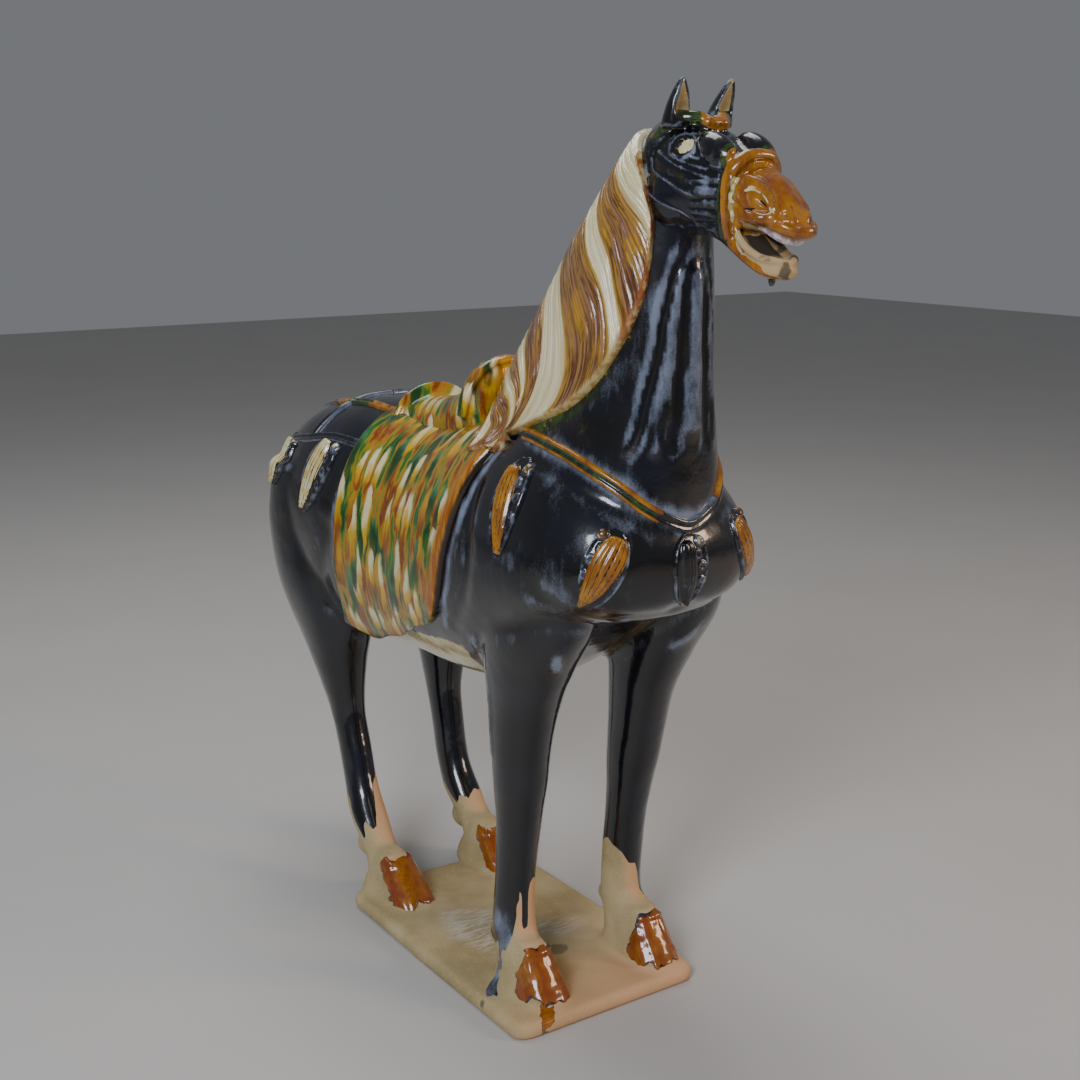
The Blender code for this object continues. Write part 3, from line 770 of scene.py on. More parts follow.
def carve(mesh, strokes):
    """Raises or sinks the skin along each stroke, on both sides, as a bell across its path."""
    points, lift = coordinates(mesh), 0.0
    for rows, radius, rise in strokes:
        for line in drawn_path(rows):
            lift = lift + nearness(points, line, radius * UNIT) * rise * UNIT
    set_coordinates(mesh, points + normals(mesh) * lift[:, None])


def hand_wobble(mesh, size, rise, seed):
    """The unevenness of hand modelling: soft noise along the normals, none on the slab's base."""
    points = coordinates(mesh)
    lift = (layered(points, size, seed) - 0.5) * 2 * rise
    lift *= smooth(points[:, 2], 0.004, 0.03)
    set_coordinates(mesh, points + normals(mesh) * lift[:, None])


# The glaze's dribble down the right foreleg on to the slab, and the amber run over the slab's edge
DRIBBLE = ((-72, 76, 60), (-72, 82, 44), (-75, 78, 28), (-78, 76, 14), (-82, 80, 3), (-89, 92, 0))
SLAB_RUN = ((-60, 132, 4), (-68, 144, 0), (-71, 151, -3), (-72, 153, -9))
# Worn glaze on the throat
THROAT_WEAR = ((-8, 236, 632), (2, 238, 622), (8, 236, 606))
# Green smears on the breast and the neck: drawing rows, reach in metres, strength
SMEARS = ((((-62, 120, 486), (-50, 150, 500), (-40, 180, 480)), 0.024, 0.60),
          (((-54, 160, 500), (-50, 184, 530), (-42, 204, 562)), 0.012, 0.54))
# Where the black glaze ends on each leg: angles round the leg from straight ahead towards the
# horse's left, each with the height of the glaze's end
GLAZE_ENDS = {
    "fore_right": ((-180, 34), (-120, 34), (-60, 38), (-38, 46), (-27, 62), (-22, 88), (-17, 88), (-11, 52),
                   (3, 50), (9, 86), (16, 96), (90, 98), (150, 60)),
    "fore_left": ((-180, 96), (-70, 101), (-47, 91), (-27, 87), (8, 76), (18, 64), (25, 50), (40, 44),
                  (90, 46), (130, 70)),
    "hind_right": ((-180, 70), (-120, 78), (-98, 78), (-84, 54), (-66, 44), (-52, 48), (-38, 58), (-26, 54),
                   (-8, 56), (4, 70), (16, 90), (41, 98), (90, 90)),
    "hind_left": ((-105, 64), (-70, 50), (-50, 50), (-35, 55), (15, 58), (90, 62), (180, 70)),
}


def leg_axis(name, height):
    """Outward and forward of a leg's middle line at a height, from its rows."""
    rows = curve(LEGS[name][0], np.linspace(0, 1, 60))[::-1]
    forward, out = (np.interp(height, rows[:, 0], rows[:, k]) for k in (1, 4))
    return leg_line(LEGS[name], height, forward, out)


def on_skin(mesh, rows):
    """A smooth path through drawing rows, laid on a mesh."""
    tree = search_tree(mesh)
    path = place(curve(rows, np.linspace(0, 1, 6 * len(rows))))
    return np.array([tree.find_nearest(Vector(p))[0] for p in path])


def leg_clay(rows, dribble):
    """How bare the clay is: over 0.5 below the line where the glaze's runs end on each leg."""
    out, forward, height = rows.T
    bare = np.zeros(len(rows))
    for name, ends in GLAZE_ENDS.items():
        mid_out, mid_forward = leg_axis(name, height)
        away = np.hypot(out - mid_out, forward - mid_forward)
        same_side = np.sign(out - 4) == np.sign(mid_out)
        same_end = np.sign(forward + 30) == np.sign(mid_forward + 30)
        angle = np.degrees(np.arctan2(out - mid_out, forward - mid_forward))
        turns, heights = np.array(ends, float).T
        end = np.interp(angle, turns, heights, period=360) + 2.5 * np.sin(np.radians(angle * 7 + 40))
        here = (away < 90) & same_side & same_end & (height < 200)
        on_foot = (height < 62) & (away > 23)
        bare = np.where(here, np.maximum(bare, np.where(on_foot, 1.0, 0.5 + (end - height) / 16)), bare)
    bare = np.clip(np.where(height < 6, 1.0, bare), 0, 1)
    points = place(rows)
    run = nearness(points, dribble, 0.0056)
    return bare * (1 - run * smooth(noise(points, 0.005, 23), 0.26, 0.42))


def body_mesh():
    """All the body's forms in one skin, then the modeller's strokes on it."""
    parts = [torso_part(), neck_part(), slab_part()]
    parts += [leg_part(leg) for leg in LEGS.values()]
    for outward, forward, heel, horn in FEET.values():
        parts += [foot_part(heel, outward, forward), foot_part(horn, outward, forward)]
    parts += [ball_part(place(knob), (12, 17, 12)) for knob in FETLOCKS]
    mesh = fused("pottery body", parts, BODY_VOXEL, 5)
    carve(mesh, BODY_STROKES)
    hand_wobble(mesh, 0.055, 0.0011, 11)
    return mesh


def paint_body(mesh):
    """Where each glaze and mark lies on the body and the slab, with painted highlights on the neck and
    chest.
    """
    points = coordinates(mesh)
    rows = drawn(points)
    out, forward, height = rows.T
    facing = normals(mesh)
    ridge = bulge(mesh, 4) / BODY_RELIEF
    fine = layered(points, 0.02, 21)

    dribble = on_skin(mesh, DRIBBLE)
    clay = leg_clay(rows, dribble)
    worn = nearness(points, place(THROAT_WEAR), 0.011)
    clay = np.maximum(clay, worn * smooth(layered(points, 0.006, 31), 0.42, 0.6) * 0.75)
    amber = 1.2 * nearness(points, place(SLAB_RUN), 0.0065) * smooth(layered(points, 0.006, 24), 0.2, 0.45)
    clay = clay * (1 - smooth(amber, 0.4, 0.6))
    belly = smooth(-facing[:, 2], 0.35, 0.6) * smooth(forward, -170, -150) * smooth(-forward, -60, -20)
    belly *= (height > 200) * (height < 300)
    smears = [share * nearness(points, place(path), radius) for path, radius, share in SMEARS]

    haze_and_highlights = 0.04 + 0.60 * np.clip(ridge, 0, 1) - 0.12 * np.clip(-ridge, 0, 1) + 0.35 * (fine - 0.5)
    haze_and_highlights -= 0.15 * smooth(-height, -300, -200)
    haze_and_highlights += 0.8 * nearness(points, dribble, 0.012)
    down = np.linspace(0.25, 1, 40)
    quarter = math.pi / 2
    ahead = torso_skin(cloth_edges(down)[1] + 9, quarter + (quarter - CLOTH_LOW_FRONT) * down, 2.0)
    for line in (ahead, mirrored(ahead)):
        haze_and_highlights += nearness(points, line, 0.0042)
    # Pale bloom beside relief, with painted highlights on the neck and chest
    for rows_beside, radius, strength in HALOS_AND_HIGHLIGHTS:
        for line in drawn_path(rows_beside):
            haze_and_highlights += strength * nearness(points, line, radius * UNIT)

    underneath, on_slab = height < 4, height < 6
    flush = smooth(facing[:, 0] * 0.3 - facing[:, 1] * 0.8 + 0.4 * (fine - 0.5), 0.25, 0.75) * 0.75
    slab_flush = smooth(forward + out * 0.6 + 60 * (fine - 0.5), 20, 190) * 0.85
    flush = np.where(underneath, slab_flush, flush)
    spread = np.minimum(oval(out, forward, (-36, -14), (28, 50)), oval(out, forward, (18, 24), (40, 18)))
    slip = smooth(1.3 - spread - 0.8 * (fine - 0.5), 0, 0.8) * on_slab * 0.8
    # A dark spot on the slab between the forefeet
    darkening = smooth(1.3 - oval(out, forward, (0, 57), (11, 9)) - 0.6 * (fine - 0.5), 0, 0.3) * on_slab * 0.62
    spot = smooth(1.2 - oval(forward, height, (92, -5), (5, 5)), 0, 0.6) * (out < -90) * 0.7
    paint(mesh, "glazes", amber, np.maximum(*smears), belly, clay)
    paint(mesh, "marks", haze_and_highlights, flush, slip, np.maximum(darkening, spot))


def ball_part(centre, radii):
    """An oval ball with its axes along the frame's."""
    c, s = circle(32)
    dip = np.linspace(0.06, math.pi - 0.06, 20)[:, None]
    ring = stacked(np.sin(dip) * c, np.sin(dip) * s, np.cos(dip))
    return ring_skin(np.asarray(centre) + ring * np.asarray(radii) * UNIT)


def tube_part(path, facing, half_width, half_rise):
    """A round or flattened rod along a path; facing is the way its flat side looks."""
    tangent = np.gradient(path, axis=0)
    side = unit(np.cross(tangent, facing))
    up = unit(np.cross(side, tangent))
    c, s = circle(20)
    return ring_skin(path[:, None] + side[:, None] * (half_width * UNIT) * c[..., None]
                     + up[:, None] * (half_rise * UNIT) * s[..., None])


def face_part(rows, fullness):
    """Ovals along the face, from rows of along, top, bottom and half width."""
    c, s = circle(56)
    along, top, bottom, width = columns(rows, 60)
    return ring_skin(on_face(along, (top + bottom) / 2 + (top - bottom) / 2 * full(s, fullness),
                             width * full(c, fullness)))


def face_ball(side, along, up, outward, half_length, half_height, half_width):
    """An oval ball with its axes along the face's."""
    points, faces = ball_part((0, 0, 0), (half_width, half_length, half_height))
    x, y, z = points.T / UNIT
    return on_face(along + y, up + z, side * outward + x), faces


def face_path(rows, side, count=40):
    """A smooth path through rows of along, up and outward on the head; side -1 is the right."""
    along, up, out = curve(rows, np.linspace(0, 1, count)).T
    return on_face(along, up, side * out)


def near_both(points, rows, radius):
    """Nearness to a path on the head and to its twin on the other side, added up."""
    return sum(nearness(points, face_path(rows, side), radius) for side in (1, -1))


# Head


# Ears: millimetres above and below the root's place, half width, forward lean, and outward turn
EAR_LENGTH = 25.5
EAR_ROOT = 8.0
EAR_HALF_WIDTH = 11.5
EAR_LEAN = 8.0
EAR_TURN = math.radians(16)

# Lines on the head: along, up, outward
NOSEBAND = ((71, 17.5, 0), (71, 15, 11), (72, 4, 20), (75, -12, 22), (81, -26, 20), (86, -38, 16))
UPPER_LIP = ((91, -18, 16), (98, -14, 17), (108, -10, 17), (120, -7, 15), (129, -6, 12), (135, -5, 6),
             (137, -4, 0))
TEETH = ((106, -15, 12), (117, -14, 11), (126, -14, 8), (131, -13, 4), (132, -13, 0))
LOWER_LIP = ((88, -22, 16), (94, -29, 16), (106, -33, 15), (118, -33, 13), (128, -30, 9), (134, -29, 0))
BROWBAND = ((-6, -14, 21), (-3, -4, 23), (3, 6, 22), (9, 12, 17), (15, 15, 10), (20, 16, 0))
CREASE = ((78.5, 14, 0), (78.5, 12, 11), (78.5, 3, 19), (80, -10, 20), (86, -20, 18), (91, -32, 15))
LIP_CREASE = ((84, -12, 20), (96, -9, 19), (108, -3, 18), (122, 1, 16), (134, 1, 9))
TEMPLE_SMEAR = ((12, -22, 27), (26, -20, 28), (40, -18, 28))
# Bands and lips: their line, along and up of the middle they bend round, half width and rise
HEAD_TUBES = ((NOSEBAND, (74, -18), 5.2, 3.8), (UPPER_LIP, (110, -5), 4.6, 3.4),
              (LOWER_LIP, (105, -60), 2.8, 3.2), (BROWBAND, (12, -30), 4.6, 3.6))
# Brow: along, up, outward, half length, half height, half width. Jowl: half widths
BROW = (51, 8, 17, 20, 11, 10)
JOWL = (14, 25, 24)

# Strokes on the head: along, up, outward rows, half width and rise in millimetres
HEAD_STROKES = (
    (((11, -3, 27), (13, 5, 26), (19, 11, 24), (29, 16, 20)), 1.5, 0.7),
    (((13, -6, 28), (19, -10, 29), (28, -9, 29), (37, -3, 28), (46, 1, 27)), 1.3, 0.7),
    (((21, 15, 0), (44, 13, 0), (64, 13, 0)), 8.0, -1.8),
    (((8, -16, 27), (20, -15, 29), (30, -14, 29), (45, -11, 28), (58, -8, 25), (70, -5, 22)), 1.1, 0.9),
    (((20, -12, 29), (38, -8, 29), (56, -2, 26), (70, 6, 20)), 1.0, 0.6),
    (((4, -24, 25), (14, -29, 27), (31, -27, 29), (44, -26, 28), (56, -24, 25)), 1.1, 0.9),
    (((12, -36, 25), (17, -42, 27), (28, -42, 29), (44, -41, 27), (56, -42, 23)), 1.1, 0.8),
    (((6, -20, 27), (22, -21, 29), (40, -18, 28), (52, -17, 26)), 4.5, 0.7),
    (((2, -46, 22), (14, -58, 24), (30, -62, 26), (46, -58, 22)), 3.0, 0.8),
    (((50, -23, 26), (60, -17.5, 24), (68, -13, 22)), 2.4, 1.0),
    (((54, -29, 26), (63, -24, 24), (71, -19, 22)), 1.8, 0.6),
    (((55, -36, 25), (66, -31, 22), (74, -28, 21)), 2.6, 1.0),
    (((60, -46, 20), (69, -41, 20), (77, -36, 19)), 3.0, 1.5),
    (((50, -17, 26), (66, -9, 22)), 1.2, -1.2),
    (((53, -26, 26), (70, -16.5, 22)), 1.0, -0.7),
    (((55, -32.5, 25), (64, -28, 23), (73, -24, 22)), 1.1, -0.8),
    (((58, -41, 22), (68, -36, 21), (76, -32, 20)), 1.2, -0.9),
    (((64, 17, 0), (64.5, 13, 12), (65, 4, 20), (69, -12, 22), (75, -27, 20), (80, -40, 16)), 1.5, -1.3),
    (CREASE, 1.4, -1.7),
    (((85, 15, 0), (84, 12, 10), (82, 4, 18), (86, -6, 19), (89, -16, 18)), 1.8, 0.6),
    (LIP_CREASE, 1.3, -1.5),
    (((123, 4, 12), (127, 7, 9), (131, 6, 6)), 2.0, 1.4),
    (((125, 0, 14), (129, 3, 11), (132, 3, 8)), 1.4, -1.6),
    (((98, 14, 0), (112, 9, 0)), 6.0, 0.6),
)
# Eye, pupil and the bead under the chin: along, up, outward
EYE = (25, -1, 28)
PUPIL = (21.5, -2.5, 29)
BEAD = (128, -46.5, -3)


def ear_part(side):
    """A leaf-shaped ear, hollowed like a spoon on its front: each cross-section is a crescent."""
    share = np.linspace(0, 1, 26)[:, None]
    c, s = circle(36)
    width = EAR_HALF_WIDTH * (1 - share ** 1.5) ** 0.75 + 1.2
    centre = on_face(2, 9, side * (18 + 4 * share))
    hollow = smooth(share, 0.12, 0.4) * (1 - share) * 1.4
    deep = np.where(s < 0, s * (0.62 - hollow * (1 - c ** 2)), s * 0.95)
    x, y, z = width * c, width * deep - EAR_LEAN * share, -EAR_ROOT + (EAR_LENGTH + EAR_ROOT) * share
    turned = stacked(x * math.cos(EAR_TURN) - y * math.sin(EAR_TURN),
                     x * math.sin(EAR_TURN) + y * math.cos(EAR_TURN), z)
    return ring_skin(centre + turned * UNIT)


def nostril(along, up, out):
    """How far from the middle of a nostril's outer ring, inner ring and opening, each 1 on its line,
    and how much the place lies on the head's sides."""
    slant = up + 0.10 * (along - 99)
    return (oval(along, slant, (99, -1), (20, 10)), oval(along, slant, (103, -1), (12, 5.5)),
            oval(along, slant, (106, 0.5), (6, 1.5)), smooth(np.abs(out), 6, 10))


def head_mesh():
    """The head's forms in one skin, then its strokes, nostrils and eyes raised or sunk as bells."""
    parts = [face_part(SKULL, 0.9), face_part(LOWER_JAW, 0.85)]
    parts.append(ball_part(on_face(20, 13, 0), (12, 10, 7)))
    parts.append(ball_part(on_face(*BEAD), (2.4, 2.4, 3.6)))
    for side in (-1, 1):
        parts.append(ear_part(side))
        parts.append(face_ball(side, *BROW))
        parts.append(ball_part(on_face(22, -38, side * 19), JOWL))
        for rows, middle, half_width, rise in HEAD_TUBES:
            line = face_path(rows, side)
            parts.append(tube_part(line, line - on_face(*middle, 0), half_width, rise))
    parts.append(neck_part(40, 0.42, 3.0))
    mesh = fused("pottery head", parts, HEAD_VOXEL, 4)
    points, lift = coordinates(mesh), 0.0
    target = loose_object("head skin", mesh.copy())
    for rows, radius, rise in HEAD_STROKES:
        for side in (-1, 1):
            line = pressed_on(face_path(rows, side, 8 * len(rows)), target)
            lift = lift + nearness(points, line, radius * UNIT) * rise * UNIT
    bpy.data.objects.remove(target, do_unlink=True)
    outer, inner, opening, beside = nostril(*face_rows(points))
    rings = 1.3 * bell(outer, 0.95, 0.13) + 1.2 * bell(inner, 1, 0.2)
    lift += UNIT * beside * (rings - 2.4 * bell(opening, 0, 1) - 0.8 * bell(outer, 1.2, 0.1))
    for side in (-1, 1):
        away = np.linalg.norm(points - on_face(*EYE[:2], side * EYE[2]), axis=1) / UNIT
        pupil = np.linalg.norm(points - on_face(*PUPIL[:2], side * PUPIL[2]), axis=1) / UNIT
        lift += UNIT * (1.8 * bell(away, 0, 7) + bell(away, 11, 1.6) - 2.2 * bell(pupil, 0, 1.8))
    set_coordinates(mesh, points + normals(mesh) * lift[:, None])
    hand_wobble(mesh, 0.018, 0.0004, 41)
    return mesh


def ear_clay(points, facing):
    """How bare the hollow of each ear is, and the chipped tip of the left one."""
    bare = np.zeros(len(points))
    for side in (-1, 1):
        base = on_face(2, 9, side * 18.0)
        height = (points[:, 2] - base[2]) / UNIT
        share = np.clip(height / EAR_LENGTH, 0, 1)
        middle = MIDDLE + side * (18 + 4 * share) * UNIT
        away_x = (points[:, 0] - middle) / UNIT
        away_y = (points[:, 1] - base[1]) / UNIT + EAR_LEAN * share
        across = np.abs(away_x * math.cos(EAR_TURN) + away_y * math.sin(EAR_TURN))
        opening = facing[:, 0] * math.sin(EAR_TURN) - facing[:, 1] * math.cos(EAR_TURN)
        width = EAR_HALF_WIDTH * (1 - share ** 1.5) ** 0.75
        near = (np.abs(points[:, 0] - middle) < 0.016) & (height > 1)
        inside = smooth(width - across, 2.4, 4.0) * smooth(opening, 0.2, 0.5) * smooth(height, 2, 5)
        chip = bell(height, EAR_LENGTH, 3.0) * (side > 0)
        bare = np.maximum(bare, near * np.maximum(inside, chip))
    return bare


def paint_head(mesh):
    """Where each glaze and mark lies on the head, with painted highlights by the eyes and on the cheeks, and
    painted shade inside the mouth and the nostrils.
    """
    points = coordinates(mesh)
    along, up, out = face_rows(points)
    facing = normals(mesh)
    side = np.abs(out)
    ridge = bulge(mesh, 4) / HEAD_RELIEF
    fine = layered(points, 0.012, 51)
    muzzle_line = 64.5 + (14 - up) * 0.47
    ahead = along - muzzle_line
    muzzle = smooth(ahead, -2.5, 1.5) * (up < 26)
    green_rim = bell(ahead, -2.5, 2.2) * (side > 4)
    knot = smooth(1.15 - oval(along, out, (21, 0), (13, 12)), 0, 0.3) * (up > 12)
    browband = near_both(points, BROWBAND, 0.008)
    patches = smooth(noise(points, 0.011, 61), 0.55, 0.75)
    amber = np.maximum.reduce((muzzle, knot, browband * patches * 0.8))
    smear = nearness(points, face_path(TEMPLE_SMEAR, -1), 0.006)
    green = np.maximum.reduce((0.75 * green_rim, browband * 0.9, 0.55 * smear))

    mouth = (along > 86) & (up < -14) & (up > -48)
    gum = smooth(along, 93, 97) * smooth(-up, 17, 19) * smooth(up, -36, -32)
    jaw_edge = up + 12 * (layered(points, 0.011, 71) - 0.5)
    jaw_side = smooth(along, 92, 98) * smooth(jaw_edge, -40, -37) * smooth(-up, 20, 24)
    throat = smooth(1.1 - oval(along, up, (60, -74), (30, 16)), 0, 0.5)
    throat *= smooth(layered(points, 0.007, 81), 0.42, 0.52) * (side < 34)
    clay = np.maximum(ear_clay(points, facing), 0.9 * throat)
    clay = np.where(muzzle > 0.5, np.maximum.reduce((gum, jaw_side, clay)), clay)

    a, u = along - EYE[0] - 2.5, up - EYE[1]
    almond = 1.25 - np.abs(a / 5.8) ** 1.3 - np.abs((u - 0.12 * a) / 5.8) ** 1.6
    pupil = oval(along, up, PUPIL, (2.2, 2.2))
    lid = bell(a + 0.5 * u, 2.5, 0.6)
    white = smooth(almond, 0.1, 0.45) * smooth(pupil, 0.8, 1.2) * (1 - 0.3 * lid)
    eye = np.maximum(white, 0.8 * bell(pupil, 1.5, 0.3)) * (side > 20)
    crease = near_both(points, CREASE, 0.0030)
    bare_crease = muzzle * crease * smooth(layered(points, 0.0035, 64), 0.46, 0.56) * smooth(-up, -8, 6)
    outer, inner, opening, beside = nostril(along, up, out)
    crease = crease + 0.9 * near_both(points, LIP_CREASE, 0.0018)
    crease += beside * (1.15 * bell(inner, 1.05, 0.17) + 0.8 * bell(outer, 1.02, 0.09))
    broken = smooth(noise(points, 0.006, 62), 0.32, 0.5)
    cream = np.maximum(0.74 * eye, 0.66 * muzzle * crease * broken)
    dashes_and_nostril_shade = near_both(points, LIP_CREASE, 0.0014) * smooth(-noise(points, 0.004, 63), -0.45, -0.35)
    # Painted shade in each nostril's opening: its amber taken away so the dark glaze shows
    dashes_and_nostril_shade = np.maximum(dashes_and_nostril_shade, 0.55 * beside * bell(opening, 0, 1))
    amber = amber * (1 - np.clip(dashes_and_nostril_shade * 1.4, 0, 1))

    haze_and_highlights = 0.06 + 0.55 * np.clip(ridge, 0, 1) + 0.60 * (fine - 0.5) - 0.25 * np.clip(-ridge, 0, 1)
    # Painted highlights: a pale spot just behind each eye, and one in the middle of each cheek
    haze_and_highlights += 0.8 * bell(oval(along, up, (EYE[0] + 8, EYE[1] - 1), (7, 5)), 0, 1) * (side > 18)
    haze_and_highlights += 0.7 * bell(np.hypot((along - 57) / 1.4, up + 13), 0, 3.2) * (side > 18)
    haze_and_highlights -= 0.25 * smooth(along, 48, 56) * smooth(-up, 22, 26)
    flush = smooth(along, 80, 100) * 0.25
    # Painted shade inside the mouth: its inner cheeks and its floor darkened; with it, dark marks on the
    # jaw's sides
    inwards = smooth(-np.sign(out) * facing[:, 0], 0.0, 0.3)
    cheeks = mouth * inwards * smooth(-along, -124, -104) * smooth(up, -36, -30)
    floor_share = smooth(facing[:, 2], 0.3, 0.6) * smooth(-side, -11, -8) * smooth(-along, -126, -112)
    inside_mouth = np.maximum(cheeks, mouth * floor_share)
    mouth_shade_and_jaw_marks = np.maximum(inside_mouth, 0.75 * jaw_side * smooth(layered(points, 0.008, 72), 0.42, 0.62))
    bead = np.linalg.norm(points - on_face(*BEAD), axis=1) < 0.0045
    amber = np.where(bead, 0, amber)
    clay = np.maximum.reduce((np.where(bead, 0, clay), 0.9 * bare_crease, inside_mouth))
    paint(mesh, "glazes", amber, green, cream, clay)
    paint(mesh, "marks", haze_and_highlights, flush, 0, mouth_shade_and_jaw_marks)


# Mane


# Cloth and mane, in millimetres, and how many strands there are and points on each
CLOTH_THICKNESS = 6.0
STRANDS = 560
STRAND_STEPS = 56
MANE_THICKNESS = 7.0
MANE_SUNK = 3.0
CREST_LENGTH = 340.0
LOCK_WIDTH = 9.5
HAIR_WIDTH = 2.9
# Places of strands along the crest, and where on the lower edge each ends
STRAND_CRESTS = (0, 0.12, 0.205, 0.282, 0.39, 0.47, 0.60, 1)
STRAND_EDGES = (0.0, 0.31, 0.49, 0.53, 0.76, 0.93, 1.0, 1.0)
# Places of strands along the crest, and how far each swings aside
SWING_PLACES = (0, 0.25, 0.31, 0.425, 0.5, 0.7, 1)
SWINGS = (0.05, 0.12, 0.14, 0.31, 0.5, 0.40, 0.05)
# The share of each strand that crosses the crest
CROSSING = 0.14
# From this share of the crest on, neighbouring strands are evened out, in so many rounds
EVENED_FROM = 0.55
EVENED_ROUNDS = 24
# Where strands begin, from the crest, and where the last ones end: frame axes, then drawing rows
LEFT_OF_CREST = (14, -4, -14)
MANE_TIP = (-80, 28, 464)
# Where each stripe ends along the crest, and how amber it is
STRIPES = ((0.12, 0.0), (0.205, 1.0), (0.282, 0.0), (0.39, 1.0), (0.47, 0.0), (0.60, 1.0), (0.66, 0.0),
           (0.74, 0.8), (0.79, 0.0), (0.90, 0.8), (0.95, 0.0), (1.01, 0.8))


def mane_mesh(target):
    """Strands from just left of the crest, over it and down to the hair's lower edge. Each is a
    cubic curve that leaves the crest, nears the edge and runs along it; the sheet is lifted off
    the neck and grooved across the strands into locks and hairs."""
    s = np.linspace(0, 1, STRANDS)
    t = np.linspace(0, 1, STRAND_STEPS)
    crest = place(curve(MANE_CREST, s))
    left = crest + np.array(LEFT_OF_CREST) * UNIT
    meet = np.interp(s, STRAND_CRESTS, STRAND_EDGES)
    end = place(curve(MANE_EDGE, meet))
    tail = smooth(s, 0.6, 1.0)[:, None]
    end = end + (place(MANE_TIP) - end) * tail
    aside = place(curve(MANE_EDGE, np.maximum(meet - 0.5, 0))) - crest
    swing = np.interp(s, SWING_PLACES, SWINGS)[:, None]
    first = crest + (end - crest) * 0.30 + aside * swing
    upstream = place(curve(MANE_EDGE, np.maximum(meet - 0.15, 0)))
    sweep = smooth(s, 0.24, 0.36)[:, None] * (1 - tail)
    second = crest + (end - crest) * 0.66 + aside * swing
    second = second + (upstream + (crest - end) * 0.12 - second) * sweep
    down = np.clip((t - CROSSING) / (1 - CROSSING), 0, 1)[None, :, None]
    a, b, c, d = (p[:, None, :] for p in (crest, first, second, end))
    grid = (a * (1 - down) ** 3 + 3 * b * down * (1 - down) ** 2 + 3 * c * down ** 2 * (1 - down)
            + d * down ** 3)
    grid = grid + (left[:, None, :] - a) * np.clip(1 - t / CROSSING, 0, 1)[None, :, None]
    root = pressed_on(grid, target)
    low = int(STRANDS * EVENED_FROM)
    for _ in range(EVENED_ROUNDS):
        root[low:-1] = 0.5 * root[low:-1] + 0.25 * (root[low - 1:-2] + root[low + 1:])
    normal = grid_normals(root, 8)
    if normal[:, :, 0].mean() > 0:
        normal = -normal

    run = (s * CREST_LENGTH)[:, None]
    drift = 0.5 * noise(stacked(run / 30, t * 2.0, 0.0), 1.0, 91)
    lock = 0.5 + 0.5 * np.cos(2 * math.pi * (run / LOCK_WIDTH + drift))
    hair = 0.5 + 0.5 * np.cos(2 * math.pi * (run / HAIR_WIDTH + drift * 1.7))
    grooves = -0.9 * (1 - lock) ** 2 - 0.45 * (1 - hair) ** 1.5
    taper = (0.045 + 0.10 * smooth(s, 0.60, 0.85))[:, None]
    fade = rolled((1 - t) / taper) * smooth(t, -0.02, 0.07)
    ends = (smooth(s, -0.012, 0.012) * smooth(-s, -1.012, -0.985))[:, None]
    rim = 0.3 * bell(t, 0.965, 0.02)
    over_cloth = (CLOTH_THICKNESS + 0.5) * smooth(-drawn(root)[..., 1], -66, -54) * smooth(t, 0.35, 0.7)
    thin = 1 - 0.45 * smooth(s, 0.5, 0.8)[:, None] * smooth(t, 0.4, 0.9)
    rise = (MANE_THICKNESS * thin + grooves * smooth(1 - t, 0.02, 0.08) + rim) * fade * ends + over_cloth
    outer = root + normal * (rise * UNIT)[..., None]
    inner = root - normal * (MANE_SUNK * UNIT)
    mesh = new_mesh("mane", *sheet_skin(outer, inner))

    amber = np.zeros((STRANDS, STRAND_STEPS))
    yellow = np.zeros_like(amber)
    where = s[:, None] + 0.006 * (noise(stacked(run / 12, t * 3, 0.0), 1.0, 92) - 0.5)
    start = 0.0
    for stop, share in STRIPES:
        begun = smooth(where, start - 0.004, start + 0.006)
        not_over = smooth(-where, -stop - 0.004, -stop + 0.006)
        amber = np.maximum(amber, share * begun * not_over)
        start = stop
    for stop, _ in STRIPES[:-1]:
        yellow = np.maximum(yellow, bell(where, stop, 0.0085))
    patches = noise(stacked(run / 60, 0 * t, 0.0), 1.0, 93)
    rusty = 0.9 * smooth(t, 0.90, 0.97) * smooth(patches, 0.40, 0.6)
    groove = (1 - lock) * 0.5 + (1 - hair) * 0.5
    paint(mesh, "hair", *(both_skins(grid) for grid in (amber, yellow, rusty, groove)))
    paint(mesh, "rim", both_skins(smooth(t, 0.955, 0.99) + 0 * run))
    store(mesh, "strand", both_skins(stacked(run * UNIT, t * 0.16, 0.0)))
    return mesh


